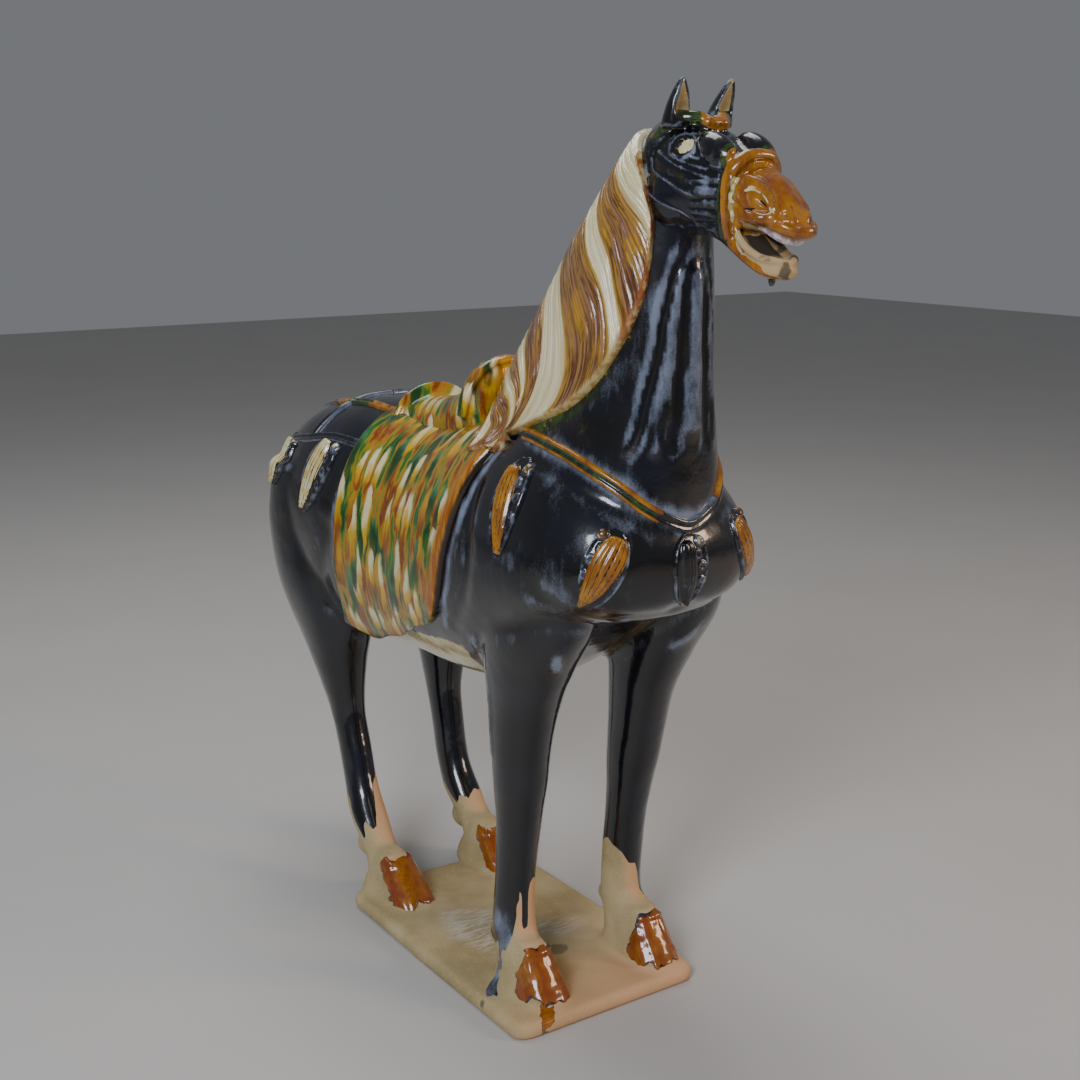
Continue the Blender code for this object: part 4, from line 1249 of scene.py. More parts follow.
def mane_glaze(name):
    """Stripes of straw and amber glaze over combed hair: amber streaked with lilac brown, yellow
    where two stripes meet, darker down in the grooves."""
    material, tree, shader = new_finish(name)
    amber, yellow, rusty, groove = shares(tree, "hair")
    rim = shares(tree, "rim")[0]
    strand = add(tree, "Attribute", {}, out="Vector", attribute_name="strand")
    thread = grain(tree, strand, 1.6, 3.0, 0.6, (1, 24, 1))
    band = grain(tree, strand, 4.5, 3.0, 0.6, (1, 16, 1), 4.0)
    cloud = grain(tree, strand, 22, 3.0, 0.6, (1, 2, 1), 8.0)
    pale = graded(tree, thread, 0.38, 0.62, ink("#dccf9c"), ink("#ebe2bd"))
    pooled = add(tree, "MapRange", {0: band, 1: 0.55, 2: 0.75, 4: 0.6}, **SOFT)
    pale = add(tree, "Mix", {0: pooled, 6: pale, 7: ink("#c4ae52")}, **COLOURS)
    brown = graded(tree, band, 0.42, 0.56, ink("#a87c26"), ink("#94694a"))
    brown = graded(tree, thread, 0.46, 0.56, brown, ink("#5a310c"))
    glow = add(tree, "Math", {0: cloud, 1: thread}, operation="MULTIPLY")
    brown = graded(tree, glow, 0.27, 0.40, brown, ink("#bf8c16"))
    split = add(tree, "Math", {0: thread, 1: 0.5, 2: -0.25}, operation="MULTIPLY_ADD")
    split = add(tree, "Math", {0: amber, 1: split}, operation="ADD")
    colour = graded(tree, split, 0.35, 0.65, pale, brown)
    gold = add(tree, "MapRange", {0: band, 1: 0.3, 2: 0.6, 4: 0.8}, **SOFT)
    gold = add(tree, "Math", {0: yellow, 1: gold}, operation="MULTIPLY")
    colour = add(tree, "Mix", {0: gold, 6: colour, 7: ink("#bf9412")}, **COLOURS)
    along_rim = grain(tree, add(tree, "TexCoord", {}, out="Object"), 9, 3.0)
    edging = graded(tree, along_rim, 0.42, 0.58, ink("#cbb677"), ink("#a98436"))
    colour = add(tree, "Mix", {0: rim, 6: colour, 7: edging}, **COLOURS)
    rust = add(tree, "MapRange", {0: along_rim, 1: 0.35, 2: 0.6}, **SOFT)
    rust = add(tree, "Math", {0: rusty, 1: rust}, operation="MULTIPLY")
    colour = add(tree, "Mix", {0: rust, 6: colour, 7: ink("#94480a")}, **COLOURS)
    depth = add(tree, "Math", {0: amber, 1: 0.45, 2: 0.22}, operation="MULTIPLY_ADD")
    for held in (add(tree, "MapRange", {0: groove, 1: 0.55, 2: 0.95}, **SOFT),
                 add(tree, "Math", {0: 1.0, 1: rim}, operation="SUBTRACT")):
        depth = add(tree, "Math", {0: depth, 1: held}, operation="MULTIPLY")
    colour = add(tree, "Mix", {0: depth, 6: colour, 7: ink("#5e3c14")}, **COLOURS)
    height = add(tree, "Math", {0: band, 1: 0.8, 2: thread}, operation="MULTIPLY_ADD")
    complete(tree, shader, colour, {"Roughness": 0.32, "Coat Weight": 0.8, "Coat Roughness": 0.12,
                                    "Coat IOR": 1.6}, height, 0.0006, 0.8)
    return material


# Saddle cloth and saddle


# The cloth's lower corners at the rear and in front, as angles below the barrel's sides
CLOTH_LOW = math.radians(-50)
CLOTH_LOW_FRONT = math.radians(-23)
# The cloth's rear and front edges at the back, and how far each moves rearwards down the flank
CLOTH_REAR = (-158.0, -20.0)
CLOTH_FRONT = (72.0, 58.0)
# Millimetres down both flanks, how far the lower rear edge stands out, and metres down one flank
CLOTH_DEPTH = 470.0
CLOTH_FLARE = 5.0
CLOTH_RUN = 0.27
# Millimetres of border over which the rim share rises to 1
CLOTH_BORDER = 60.0


def cloth_edges(down):
    """How far back and forward the cloth reaches, down a flank from 0 at the back to 1."""
    return CLOTH_REAR[0] + CLOTH_REAR[1] * down ** 3, CLOTH_FRONT[0] - CLOTH_FRONT[1] * down ** 1.4


def cloth_mesh(target):
    """A thick cloth over the back: rings round the barrel between a rear and a front border, laid
    on the skin, the borders rolled over; u runs down each flank, v from rear to front."""
    across, along = 200, 110
    u = np.linspace(0, 1, across + 1)[None, :]
    v = np.linspace(0, 1, along + 1)[:, None]
    lowest = CLOTH_LOW + (CLOTH_LOW_FRONT - CLOTH_LOW) * smooth(v, 0.15, 1.0)
    angle = lowest + (math.pi - 2 * lowest) * u
    down = np.abs(2 * u - 1)
    rear, front = cloth_edges(down)
    low = smooth(down, 0.9, 1.0)
    corner = low * (2 * np.abs(v - 0.5)) ** 6
    angle = math.pi / 2 + (angle - math.pi / 2) * (1 - 0.05 * corner - 0.010 * low * np.sin(v * 19))
    forward = rear + (front - rear) * v
    rim = np.minimum(np.minimum(v, 1 - v) * (front - rear), (1 - down) * CLOTH_DEPTH) / CLOTH_THICKNESS
    spots = stacked(forward, 300 * down, 0.0)
    folds = 1.1 * (layered(spots / (26, 110, 1), 1.0, 101) - 0.5) * 2
    lift = CLOTH_THICKNESS * (0.15 + 0.85 * rolled(rim)) + folds * np.clip(rim / 3, 0, 1)
    base = pressed_on(torso_skin(forward, angle, 2.0), target)
    normal = grid_normals(base, 10)
    if ((base - place((0, -45, 366))) * normal).sum() < 0:
        normal = -normal
    flare = CLOTH_FLARE * smooth(down, 0.80, 1.0) * smooth(-v, -0.7, -0.2)
    outer = base + normal * ((lift + flare) * UNIT)[..., None]
    inner = base + normal * ((flare - CLOTH_THICKNESS) * UNIT)[..., None]
    mesh = new_mesh("saddle cloth", *sheet_skin(outer, inner))
    border = np.clip(rim * CLOTH_THICKNESS, 0, CLOTH_BORDER) / CLOTH_BORDER
    front_edge = smooth(forward, front - 20, front - 9) * smooth(-down, -0.97, -0.9)
    paint(mesh, "cloth", both_skins(border), both_skins(front_edge))
    store(mesh, "run", both_skins(stacked(forward * UNIT, down * CLOTH_RUN * np.sign(u - 0.5), 0.0)))
    return mesh


# Ground colours of the splashed glazes, from the thinnest to the thickest
GROUND = ((0.12, "#0b2610"), (0.28, "#174a1c"), (0.38, "#2f6a24"), (0.45, "#8a8412"), (0.53, "#b07c0c"),
          (0.64, "#8f4c06"), (0.76, "#6c3205"), (0.88, "#b8860c"))
# Drops to a metre, how far each layer is moved and the share of places that hold a drop
DROPS = ((62.0, 0.0, 0.66), (82.0, 0.11, 0.52))
# The drops' pattern is drawn out down the cloth by this scale, to about four times their width
DRAWN_OUT = (1.0, 0.26, 1.0)


def glaze_ground(tree, moved, streak):
    """The cloth's ground: a ramp of glazes read by noise drawn out down the cloth."""
    pool = grain(tree, moved, 9.0, 2.0, 0.5, (1, 5, 1), 6.0)
    pool = add(tree, "Math", {0: pool, 1: 1.5, 2: -0.37}, operation="MULTIPLY_ADD")
    pool = add(tree, "Math", {0: streak, 1: 0.25, 2: pool}, operation="MULTIPLY_ADD")
    ground = add(tree, "ValToRGB", {0: pool})
    steps = ground.node.color_ramp.elements
    while len(steps) < len(GROUND):
        steps.new(0.5)
    for step, (position, colour) in zip(steps, GROUND):
        step.position = position
        step.color = ink(colour)
    return ground


def drop_layer(tree, colour, drawn_out, side_sign, streak, size, move, share):
    """One layer of drops over a colour: a cell for each, pale, green or gold by its own number, its
    glaze changing as it runs down and its outline frayed by the streaks."""
    shifted = add(tree, "VectorMath", {0: drawn_out, 1: (move, move, 0.0)}, operation="ADD")
    cell = add(tree, "TexVoronoi", {"Vector": shifted, "Scale": size}, voronoi_dimensions="2D").node
    number = add(tree, "SeparateColor", {0: cell.outputs["Color"]}).node
    local = add(tree, "VectorMath", {0: shifted, 1: cell.outputs["Position"]}, operation="SUBTRACT")
    fall = add(tree, "SeparateXYZ", {0: local}, out=1)
    fall = add(tree, "Math", {0: fall, 1: size}, operation="MULTIPLY")
    fall = add(tree, "Math", {0: fall, 1: side_sign, 2: 0.25}, operation="MULTIPLY_ADD")
    fall = add(tree, "Math", {0: streak, 1: 0.5, 2: fall}, operation="MULTIPLY_ADD")
    pale = graded(tree, fall, 0.30, 0.62, ink("#e6dcaa"), ink("#cfa606"))
    pale = graded(tree, fall, 0.62, 0.95, pale, ink("#a85c02"))
    leaf = graded(tree, fall, 0.15, 0.50, ink("#3a8050"), ink("#0c3e14"))
    leaf = graded(tree, fall, 0.55, 0.95, leaf, ink("#5e6606"))
    gold = graded(tree, fall, 0.25, 0.80, ink("#c49600"), ink("#8c4402"))
    drop = graded(tree, number.outputs[0], 0.46, 0.48, pale, leaf)
    drop = graded(tree, number.outputs[0], 0.72, 0.74, drop, gold)
    away = add(tree, "Math", {0: streak, 1: 0.24, 2: -0.12}, operation="MULTIPLY_ADD")
    away = add(tree, "Math", {0: cell.outputs["Distance"], 1: away}, operation="ADD")
    within = add(tree, "MapRange", {0: away, 1: 0.26, 2: 0.50, 3: 1.0, 4: 0.0}, **SOFT)
    there = add(tree, "MapRange", {0: number.outputs[1], 1: share - 0.02, 2: share, 3: 1.0, 4: 0.0}, **SOFT)
    within = add(tree, "Math", {0: within, 1: there}, operation="MULTIPLY")
    return add(tree, "Mix", {0: within, 6: colour, 7: drop}, **COLOURS)


def cloth_glaze(name):
    """Splashed glazes that ran down the cloth: long drops of cream, yellow, green and amber, each
    drawn out four times its width, over an amber ground with an orange border in front."""
    material, tree, shader = new_finish(name)
    border, front, _, _ = shares(tree, "cloth")
    run = add(tree, "Attribute", {}, out="Vector", attribute_name="run")
    sway = add(tree, "TexNoise", {"Vector": run, "Scale": 45.0, "Detail": 3.0}, out="Color")
    sway = add(tree, "VectorMath", {0: sway, 1: (0.5, 0.5, 0.5)}, operation="SUBTRACT")
    sway = add(tree, "VectorMath", {0: sway, 1: (0.010, 0.030, 0.0)}, operation="MULTIPLY")
    moved = add(tree, "VectorMath", {0: run, 1: sway}, operation="ADD")
    drawn_out = add(tree, "Mapping", {"Vector": moved, "Scale": DRAWN_OUT})
    streak = grain(tree, run, 4.0, 4.0, 0.65, (1, 9, 1))
    side_sign = add(tree, "SeparateXYZ", {0: run}, out=1)
    side_sign = add(tree, "Math", {0: side_sign}, operation="SIGN")
    colour = glaze_ground(tree, moved, streak)
    for size, move, share in DROPS:
        colour = drop_layer(tree, colour, drawn_out, side_sign, streak, size, move, share)
    runs = grain(tree, run, 7.0, 4.0, 0.6, (1, 12, 1), 3.0)
    runs = add(tree, "MapRange", {0: runs, 1: 0.62, 2: 0.72, 4: 0.6}, **SOFT)
    colour = add(tree, "Mix", {0: runs, 6: colour, 7: ink("#3a2408")}, **COLOURS)
    orange = graded(tree, streak, 0.4, 0.65, ink("#9a5008"), ink("#b98620"))
    colour = add(tree, "Mix", {0: front, 6: colour, 7: orange}, **COLOURS)
    rim = add(tree, "Math", {0: streak, 1: 0.03, 2: -0.015}, operation="MULTIPLY_ADD")
    rim = add(tree, "Math", {0: border, 1: rim}, operation="ADD")
    colour = graded(tree, rim, 0.015, 0.05, ink("#2a1c10"), colour)
    height = grain(tree, run, 12, 2.0, 0.5, (1, 3, 1), 5.0)
    height = add(tree, "Math", {0: streak, 1: 0.5, 2: height}, operation="MULTIPLY_ADD")
    complete(tree, shader, colour, {"Roughness": 0.28, "Specular IOR Level": 0.2, "Coat Weight": 0.9,
                                    "Coat Roughness": 0.08, "Coat IOR": 1.5}, height)
    return material


def saddle_mesh():
    """A low seat between a pommel arch in front and a cantle behind."""
    share = np.linspace(0, 1, 30)[:, None]
    c, s = circle(60)
    rise = 477 + 30 * share ** 2
    seat = place(stacked(40 * full(c, 0.9), -140 + 116 * share, rise - 30 + 30 * full(s, 0.9)))
    parts = [ring_skin(seat), ball_part(place((0, -20, 481)), (40, 10, 40)),
             ball_part(place((0, -140, 449)), (46, 10, 40))]
    for side in (-1, 1):
        arch = ((side * 44, -22, 474), (side * 36, -20, 500), (side * 20, -19, 516), (0, -18, 521))
        arch = place(curve(arch, np.linspace(0, 1, 30)))
        parts.append(tube_part(arch, arch - place((0, -20, 470)), 7.0, 4.0))
    mesh = fused("saddle", parts, SADDLE_VOXEL, 5)
    points = coordinates(mesh)
    out, forward, height = drawn(points).T
    warmer = 0.75 * smooth(height, 492, 512) * smooth(noise(points, 0.016, 121), 0.3, 0.5)
    paint(mesh, "cloth", 1, warmer)
    store(mesh, "run", stacked((forward + 0.7 * out) * UNIT, (np.abs(out) * 0.7 + 560 - height) * UNIT, 0.0))
    return mesh


# Harness


# Straps: drawing rows
BREAST_STRAP = ((-71, 104, 481), (-66, 125, 478), (-60, 166, 469), (-48, 204, 451),
                (-36, 220, 437), (-20, 229, 427), (0, 233, 420))
CRUPPER_UPPER = ((36, -150, 470), (40, -200, 472), (42, -250, 468), (32, -300, 458), (14, -335, 442),
                 (4, -352, 424))
CRUPPER_LOWER = ((78, -150, 440), (82, -200, 440), (84, -255, 430), (68, -310, 416), (40, -345, 406),
                 (10, -362, 404))
CRUPPER_CROSS = ((0, -222, 476), (44, -228, 470), (86, -236, 438))
# How far the inner skin of straps and pendants sinks into the body
SUNK = 4.0


def strap_mesh(name, rows, target, half_width, rise):
    """A flat strap pressed on the body: two ribs with a channel between, its sides rolled under.
    With it go each vertex's share along the strap and its place across, from -1 to 1."""
    length = np.linalg.norm(np.diff(np.asarray(rows, float), axis=0), axis=1).sum()
    count = int(length / 2.0)
    path = pressed_on(place(curve(rows, np.linspace(0, 1, count))), target)
    for _ in range(6):
        path[1:-1] = (path[:-2] + 2 * path[1:-1] + path[2:]) / 4
    tree = search_tree(target.data)
    facing = np.array([tree.find_nearest(Vector(p))[1] for p in path])
    side = unit(np.cross(np.gradient(path, axis=0), facing))
    u = np.linspace(-1, 1, 17)
    profile = np.sqrt(np.clip(1 - u ** 6, 0, 1)) * (1 - 0.34 * bell(u, 0, 0.30))
    flat = path[:, None] + side[:, None] * (u * half_width * UNIT)[None, :, None]
    outer = flat + facing[:, None] * (profile * rise * UNIT)[None, :, None]
    inner = flat - facing[:, None] * (SUNK * UNIT)
    share, across = np.broadcast_arrays(np.linspace(0, 1, count)[:, None], u[None, :])
    return new_mesh(name, *sheet_skin(outer, inner)), both_skins(share), both_skins(across)


# Pendants: centre, length and width of the plaque, its lean in degrees, the leaf's middle at its top
# and at its tip and its half width as shares of the plaque's, main glaze
PENDANTS = (
    ("chest_side", (98, 118, 431), 90, 42, -3, (-0.34, 0.16, 0.50), "amber"),
    ("chest_front", (68, 212, 392), 84, 40, 20, (0.20, -0.36, 0.56), "amber"),
    ("rump_near", (92, -207, 402), 94, 46, 20, (-0.26, -0.10, 0.46), "cream"),
    ("rump_far", (88, -288, 396), 78, 38, 12, (-0.40, -0.20, 0.42), "cream"),
)
# The left side's last one hangs higher and is shorter, clear of the thigh
PENDANTS_LEFT = PENDANTS[:3] + (("rump_far", (84, -290, 418), 58, 34, 8, (-0.40, -0.20, 0.42), "cream"),)
BREAST_PENDANT = ("chest_middle", (0, 236, 384), 72, 36, 0, (0.20, -0.10, 0.40), "black")
# Curls beside a pendant's leaf: across, down and radius as shares of the plaque's half size
CURLS = ((0.30, -0.42, 0.20), (0.56, -0.16, 0.18), (0.58, 0.14, 0.15), (0.44, 0.40, 0.12))
# Amber and cream shares of a leaf's main glaze
LEAF_GLAZES = {"amber": (1.0, 0.0), "cream": (0.15, 0.95), "black": (0.0, 0.0)}


def leaf_hairs(x, share):
    """Fine ribs across a leaf, 0 in their grooves and 1 on top, waving a little down its length."""
    return 0.5 + 0.5 * np.cos(x * 17 + 1.3 * np.sin(share * 5))


def pendant_mesh(name, row, length, width, lean, leaf_shares, target, side):
    """A hanging ornament pressed on the body: an oval plaque with a raised border, a grooved leaf
    with its tip down, curls beside the leaf and a knot above. Height is a function of the place
    across (a) and down (d) the plaque, both from -1 to 1."""
    across_count, down_count = 52, 80
    a = np.linspace(-1, 1, across_count)[None, :]
    d = np.linspace(-1, 1, down_count)[:, None]
    near, facing, _, _ = search_tree(target.data).find_nearest(Vector(place((side * row[0], *row[1:]))))
    down = Vector((0, 0, -1))
    down = (down - facing * down.dot(facing)).normalized()
    fore = facing.cross(down).normalized()
    if fore.y > 0 or (abs(fore.y) < 0.3 and fore.x * side < 0):
        fore = -fore
    turn = math.radians(lean)
    fore, down = (fore * math.cos(turn) + down * math.sin(turn),
                  down * math.cos(turn) - fore * math.sin(turn))
    flat = (np.array(near) + np.array(fore) * (a * width / 2 * UNIT)[..., None]
            + np.array(down) * (d * length / 2 * UNIT)[..., None])
    base = pressed_on(flat, target)
    for _ in range(14):
        base[1:-1, 1:-1] = (base[:-2, 1:-1] + base[2:, 1:-1] + base[1:-1, :-2] + base[1:-1, 2:]) / 4
    normal = grid_normals(base, 6)
    if (normal * np.array(facing)).sum(-1).mean() < 0:
        normal = -normal

    a, d = np.broadcast_arrays(a, d)
    length_share = np.clip((d + 0.92) / 1.86, 0.0005, 0.9995)
    drop = 0.98 * np.sin(math.pi * length_share ** 0.74) ** 0.72
    outline = np.where((d > -0.92) & (d < 0.94), np.abs(a) / drop, 1.3)
    plaque = smooth(1.0 - outline, 0.0, 0.14)
    border = bell(outline, 0.85, 0.09) * plaque
    leaf_top, leaf_tip, leaf_half = leaf_shares
    share = np.clip((d + 0.78) / 1.68, 0, 1)
    middle = leaf_top + (leaf_tip - leaf_top) * share ** 1.6
    width_there = 1.12 * leaf_half * np.sin(math.pi * np.clip(share, 0.001, 0.999) ** 0.62) ** 0.75 + 0.02
    x = (a - middle) / width_there
    leaf = np.sqrt(np.clip(1 - x ** 2, 0, 1)) * smooth(share, 0.0, 0.06) * smooth(-share, -1.0, -0.95)
    curls = np.zeros_like(a)
    for across, below, radius in CURLS:
        away = np.hypot(a + np.sign(leaf_top) * across, (d - below) * length / width) / radius
        curls = np.maximum(curls, bell(away, 0.8, 0.32) + 0.8 * bell(away, 0, 0.30))
    curls = curls * plaque
    knot = np.sqrt(np.clip(1 - oval(a, d, (-0.5 * np.sign(leaf_top), -0.70), (0.30, 0.15)) ** 2, 0, 1))
    rise = 1.1 * plaque + 1.5 * border + 1.7 * curls * (1 - np.clip(leaf * 3, 0, 1))
    rise = np.maximum(rise, 5.6 * leaf - 0.8 * (1 - leaf_hairs(x, share)) * np.clip(leaf * 2, 0, 1))
    rise = np.maximum(rise, 4.6 * knot) - 1.6 * (1 - np.clip(plaque + knot + leaf, 0, 1))
    outer = base + normal * (rise * UNIT)[..., None]
    inner = base - normal * (SUNK * UNIT)
    mesh = new_mesh(name, *sheet_skin(outer, inner))
    return mesh, [both_skins(grid) for grid in (leaf, x, share, knot, border, curls)]


def hang(name, row, length, width, lean, leaf_shares, glaze, target, side, material):
    """A pendant in place, its leaf in its own glaze, its knot and relief catching others."""
    mesh, fields = pendant_mesh(name, row, length, width, lean, leaf_shares, target, side)
    leaf, x, share, knot, border, curls = fields
    on_leaf = smooth(leaf, 0.16, 0.42) * (1 - 0.62 * smooth(1 - leaf_hairs(x, share), 0.72, 0.95))
    fine = layered(coordinates(mesh), 0.006, 111)
    amber, cream = (on_leaf * leaf_share for leaf_share in LEAF_GLAZES[glaze])
    cream = cream * smooth(np.abs(x + 0.75), 0.15, 0.4)
    if glaze == "cream":
        amber = np.maximum(amber, on_leaf * smooth(-np.abs(x), -0.95, -0.8) * 0.55)
        cream = np.maximum(cream, 0.8 * smooth(knot, 0.3, 0.6) * smooth(fine, 0.45, 0.6))
    else:
        amber = np.maximum(amber, 0.50 * smooth(knot, 0.3, 0.6) * (glaze == "amber"))
        cream = np.maximum(cream, 0.52 * smooth(knot, 0.4, 0.7) * smooth(fine, 0.48, 0.58))
    haze_and_highlights = 0.15 + 0.50 * border * smooth(fine, 0.3, 0.6) + 0.5 * curls + 0.7 * (fine - 0.5) + 0.5 * knot
    paint(mesh, "glazes", amber, on_leaf * (glaze == "amber") * smooth(-x, 0.55, 0.85) * 0.6, cream)
    paint(mesh, "marks", haze_and_highlights)
    return show(name, mesh, material)


# Tail and hooves


# The tail's line, in drawing rows, with its radius at each
TAIL = ((0, -345, 420, 10), (0, -362, 410, 12), (0, -372, 388, 12), (2, -376, 360, 11), (3, -374, 332, 12),
        (3, -368, 306, 11), (3, -362, 288, 4))


def tail_mesh():
    """A short bound tail, grooved along its length and drawn in by its binding."""
    share = np.linspace(0, 1, 90)
    path = place(curve([row[:3] for row in TAIL], share))
    size = np.interp(share * (len(TAIL) - 1), range(len(TAIL)), [row[3] for row in TAIL])
    angle = np.linspace(0, 2 * math.pi, 72, endpoint=False)[None, :]
    binding = 0.9 * np.exp(-(np.abs((share * 9) % 1 - 0.5) / 0.14) ** 2) * (share > 0.12) * (share < 0.75)
    grooves = 0.55 * np.cos(angle * 12 + share[:, None] * 6) * (1 - 0.6 * binding[:, None])
    radius = (size - binding * 1.4)[:, None] + grooves
    out = np.array((1.0, 0.0, 0.0))
    up = np.cross(out, unit(np.gradient(path, axis=0)))[:, None]
    around = out * np.cos(angle)[..., None] + up * np.sin(angle)[..., None]
    return new_mesh("tail", *ring_skin(path[:, None] + around * (radius * UNIT)[..., None]))


def hoof_mesh(name, outward, forward, horn, seed):
    """A hoof's glazed shell: the horn's rows a little larger, streaked down the front, with a collar
    on top. Its glaze ends in a ragged line down each side and in runs towards the slab."""
    around = 110
    c, s = circle(around)
    out, fore, height = foot_ovals(horn, 64, around)
    top = horn[0][0]
    rows = stacked(outward + out, forward + fore, height)
    ragged = noise(place(rows), 0.005, seed) - 0.5
    streaks = layered(stacked(c * 4.4, s * 4.4, height / 45), 1.0, seed + 6) - 0.5
    collar = bell(height, top - 5, 2.6)
    low_line, top_line = (24, 27) if horn is HORN else (32, 6)
    back_line = low_line + (top_line - low_line) * smooth(height, 4, top - 8)
    run_end = 2 + 17 * (noise(stacked(c * 1.6, s * 1.6, 0.0) + seed, 1.0, seed + 3) - 0.60)
    beside, above = fore - back_line + 7 * ragged, height - run_end + 5 * ragged
    below_top = smooth(top - height + 3 * ragged, 0.8, 2.4)
    glazed = smooth(beside, -1.2, 1.2) * smooth(above, -0.9, 0.9) * below_top
    margin = smooth(np.minimum(beside, above), 0, 4.5)
    grow = (0.9 + 2.2 * streaks + 0.9 * ragged + 1.4 * collar) * glazed - 1.8 * (1 - glazed)
    mesh = new_mesh(name, *ring_skin(place(rows + stacked(c, s, 0.0) * grow[..., None])))
    share = np.append(glazed, (glazed[0].mean(), glazed[-1].mean()))
    thick = np.append(1.5 * streaks + 0.5 * ragged, (0.0, 0.0))
    depth = np.append(margin, (1.0, 1.0))
    paint(mesh, "glazes", np.where(share > 0.5, 0.42 + 0.42 * depth + 0.5 * thick, 0.3), 0, 0, 1 - share)
    paint(mesh, "marks", 0.45, 0.50 + 1.6 * np.clip(-thick, 0, 0.4))
    return mesh


# Light, floor and camera


# Camera: height above the table in metres, place in camera heights, the level way it looks, its
# downward pitch, its lens and the picture's width in the photo's pixels, and a sensor in millimetres
CAMERA_HEIGHT = 0.6837
CAMERA_PLACE = (-1.023, -1.56, 1.0)
CAMERA_AHEAD = (0.564, 0.826)
CAMERA_PITCH = math.radians(13.4)
LENS_PIXELS = 1513.0
PICTURE_WIDTH = 1080.0
SENSOR_WIDTH = 36.0
# Lamps: place, size, power, tint. They are aimed at the horse's middle
LAMPS = {"key": ((-1.7, -1.2, 1.5), 0.8, 38.0, "#eef3ff"),
         "fill": ((1.6, -1.7, 1.1), 0.6, 18.0, "#ffdcc0"),
         "top": ((0.1, 0.7, 2.2), 1.2, 20.0, "#ffffff")}
AIM = (0, 0, 0.4)
FLOOR_REACH = 6.0


def stand(name, data, place_there, look):
    """Puts a camera or lamp in its place, looking along a direction."""
    made = loose_object(name, data)
    made.location = place_there
    made.rotation_mode = "QUATERNION"
    made.rotation_quaternion = look.to_track_quat("-Z", "Y")
    return made


def studio():
    """The photo's camera, a soft grey room and three lamps."""
    data = bpy.data.cameras.new("camera")
    data.sensor_width = SENSOR_WIDTH
    data.lens = LENS_PIXELS / PICTURE_WIDTH * SENSOR_WIDTH
    level = math.cos(CAMERA_PITCH)
    look = Vector((CAMERA_AHEAD[0] * level, CAMERA_AHEAD[1] * level, -math.sin(CAMERA_PITCH)))
    spot = Vector(CAMERA_PLACE) * CAMERA_HEIGHT
    bpy.context.scene.camera = stand("camera", data, spot, look)

    world = bpy.data.worlds.new("soft room")
    bpy.context.scene.world = world
    world.use_nodes = True
    background = world.node_tree.nodes["Background"]
    background.inputs["Color"].default_value = ink("#c9ccd2")
    background.inputs["Strength"].default_value = 0.30
    for name, (spot, size, power, tint) in LAMPS.items():
        lamp = bpy.data.lights.new(name, "AREA")
        lamp.energy = power
        lamp.size = size
        lamp.color = ink(tint)[:3]
        stand(name, lamp, spot, Vector(AIM) - Vector(spot))


def floor():
    """A level sheet of matt paper under the slab."""
    mesh = bpy.data.meshes.new("floor")
    corners = [(x * FLOOR_REACH, y * FLOOR_REACH, 0) for x, y in ((-1, -1), (1, -1), (1, 1), (-1, 1))]
    mesh.from_pydata(corners, [], [(0, 1, 2, 3)])
    made = loose_object("floor", mesh)
    material, tree, shader = new_finish("matt paper")
    cloudy = grain(tree, add(tree, "TexCoord", {}, out="Object"), 300)
    tone = add(tree, "Mix", {0: cloudy, 6: ink("#b9b7b3"), 7: ink("#c1bfbb")}, **COLOURS)
    complete(tree, shader, tone, {"Roughness": 0.85})
    mesh.materials.append(material)


# The horse, piece by piece


studio()
floor()
glazed = pottery("lead-glazed earthenware")
skin = body_mesh()
paint_body(skin)
body = loose_object("whole body", skin)
front = show("pottery_front", half(skin, HALVES_MEET, True), glazed)
show("pottery_rear", half(skin, HALVES_MEET, False), glazed)
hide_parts("horse")

head = head_mesh()
paint_head(head)
show("head", head, glazed)

white = tooth_glaze("white slip under clear glaze")
for turn, word in SIDES:
    line = face_path(TEETH, turn, 24)
    show(f"teeth_{word}", new_mesh("teeth", *tube_part(line, line - on_face(110, -14, 0), 3.6, 2.2)), white)

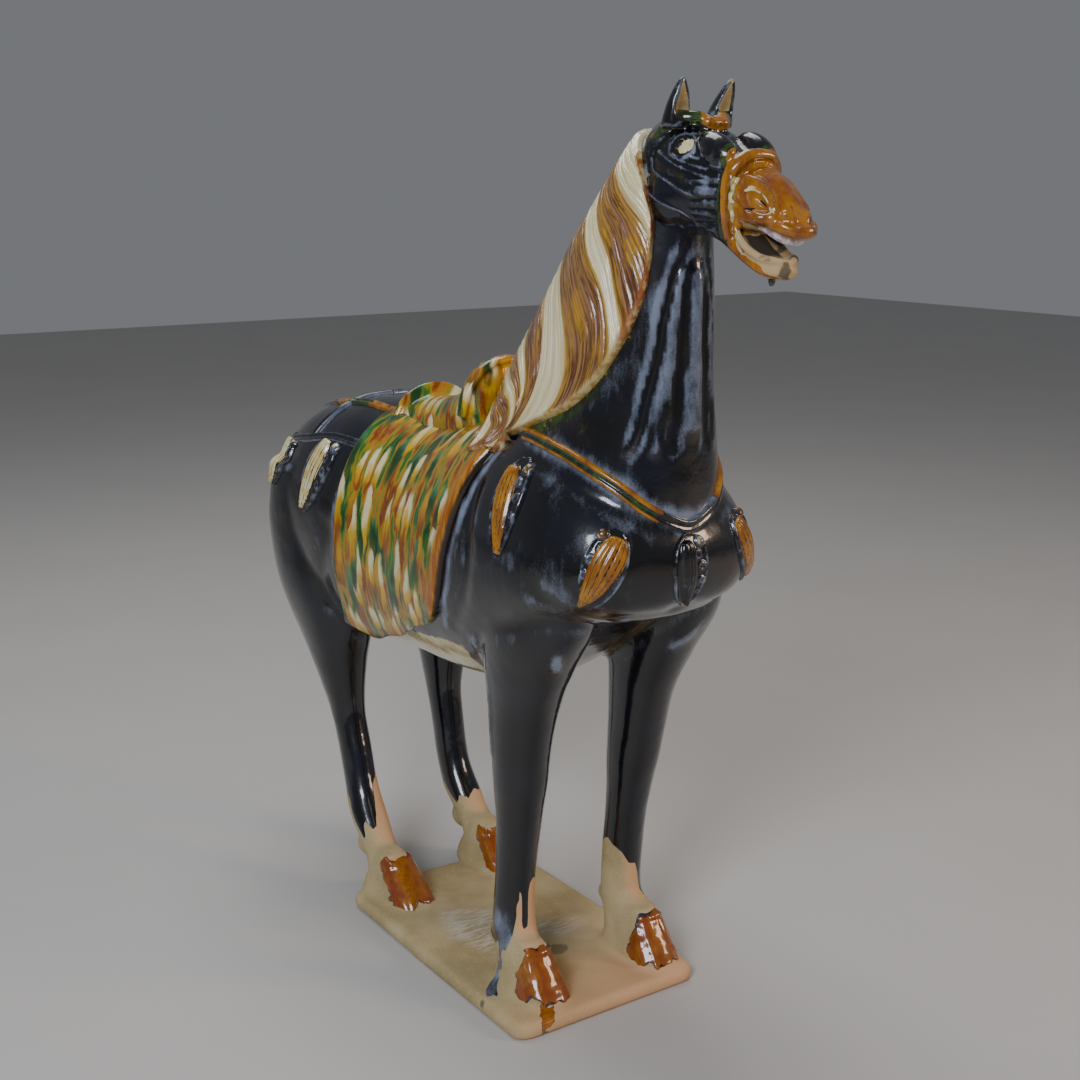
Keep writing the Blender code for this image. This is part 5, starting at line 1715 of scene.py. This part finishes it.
show("mane", mane_mesh(body), mane_glaze("straw and amber lead glaze"))
splashed = cloth_glaze("splashed lead glazes")
show("saddle_cloth", cloth_mesh(body), splashed)
show("saddle", saddle_mesh(), splashed)

breast_rows = BREAST_STRAP + tuple((-x, y, z) for x, y, z in BREAST_STRAP[-2::-1])
strap, share, across = strap_mesh("breast strap", breast_rows, body, 5.5, 4.0)
coloured = 1 - smooth(share, 0.36, 0.42) * smooth(-share, -0.70, -0.60)
channel = smooth(-np.abs(across), -0.60, -0.40)
channel = channel * (0.5 + 0.2 * smooth(noise(coordinates(strap), 0.014, 132), 0.35, 0.6))
paint(strap, "glazes", coloured * np.where(np.abs(across) > 0.45, 1.0, 0.25), coloured * channel)
paint(strap, "marks", 0.25 + 0.5 * np.abs(across) ** 4)
show("breast_strap", strap, glazed)
for turn, word in SIDES:
    for name, rows in (("upper", CRUPPER_UPPER), ("lower", CRUPPER_LOWER), ("cross", CRUPPER_CROSS)):
        rows = tuple((turn * x, y, z) for x, y, z in rows)
        strap, share, across = strap_mesh(f"{name} crupper strap", rows, body, 4.5, 3.2)
        coloured = {"upper": smooth(-share, -0.6, -0.4), "lower": smooth(share, 0.45, 0.6), "cross": 0}[name]
        patches = smooth(layered(coordinates(strap), 0.02, 131), 0.45, 0.55)
        paint(strap, "glazes", coloured * (1 - patches), 0.8 * coloured * patches)
        paint(strap, "marks", 0.2 + 0.6 * np.abs(across) ** 4)
        show(f"{name}_crupper_{word}", strap, glazed)
for (turn, word), ornaments in zip(SIDES, (PENDANTS, PENDANTS_LEFT)):
    for name, *ornament in ornaments:
        hang(f"{name}_{word}", *ornament, body, turn, glazed)
name, *ornament = BREAST_PENDANT
hang(name, *ornament, body, 1, glazed)

tail = tail_mesh()
paint(tail, "glazes")
paint(tail, "marks", 0.3)
show("tail", tail, glazed)
for seed, (name, (outward, forward, _, horn)) in enumerate(FEET.items()):
    show(f"hoof_{name}", hoof_mesh(f"hoof {name}", outward, forward, horn, 120 + seed), glazed)
bpy.data.objects.remove(body, do_unlink=True)
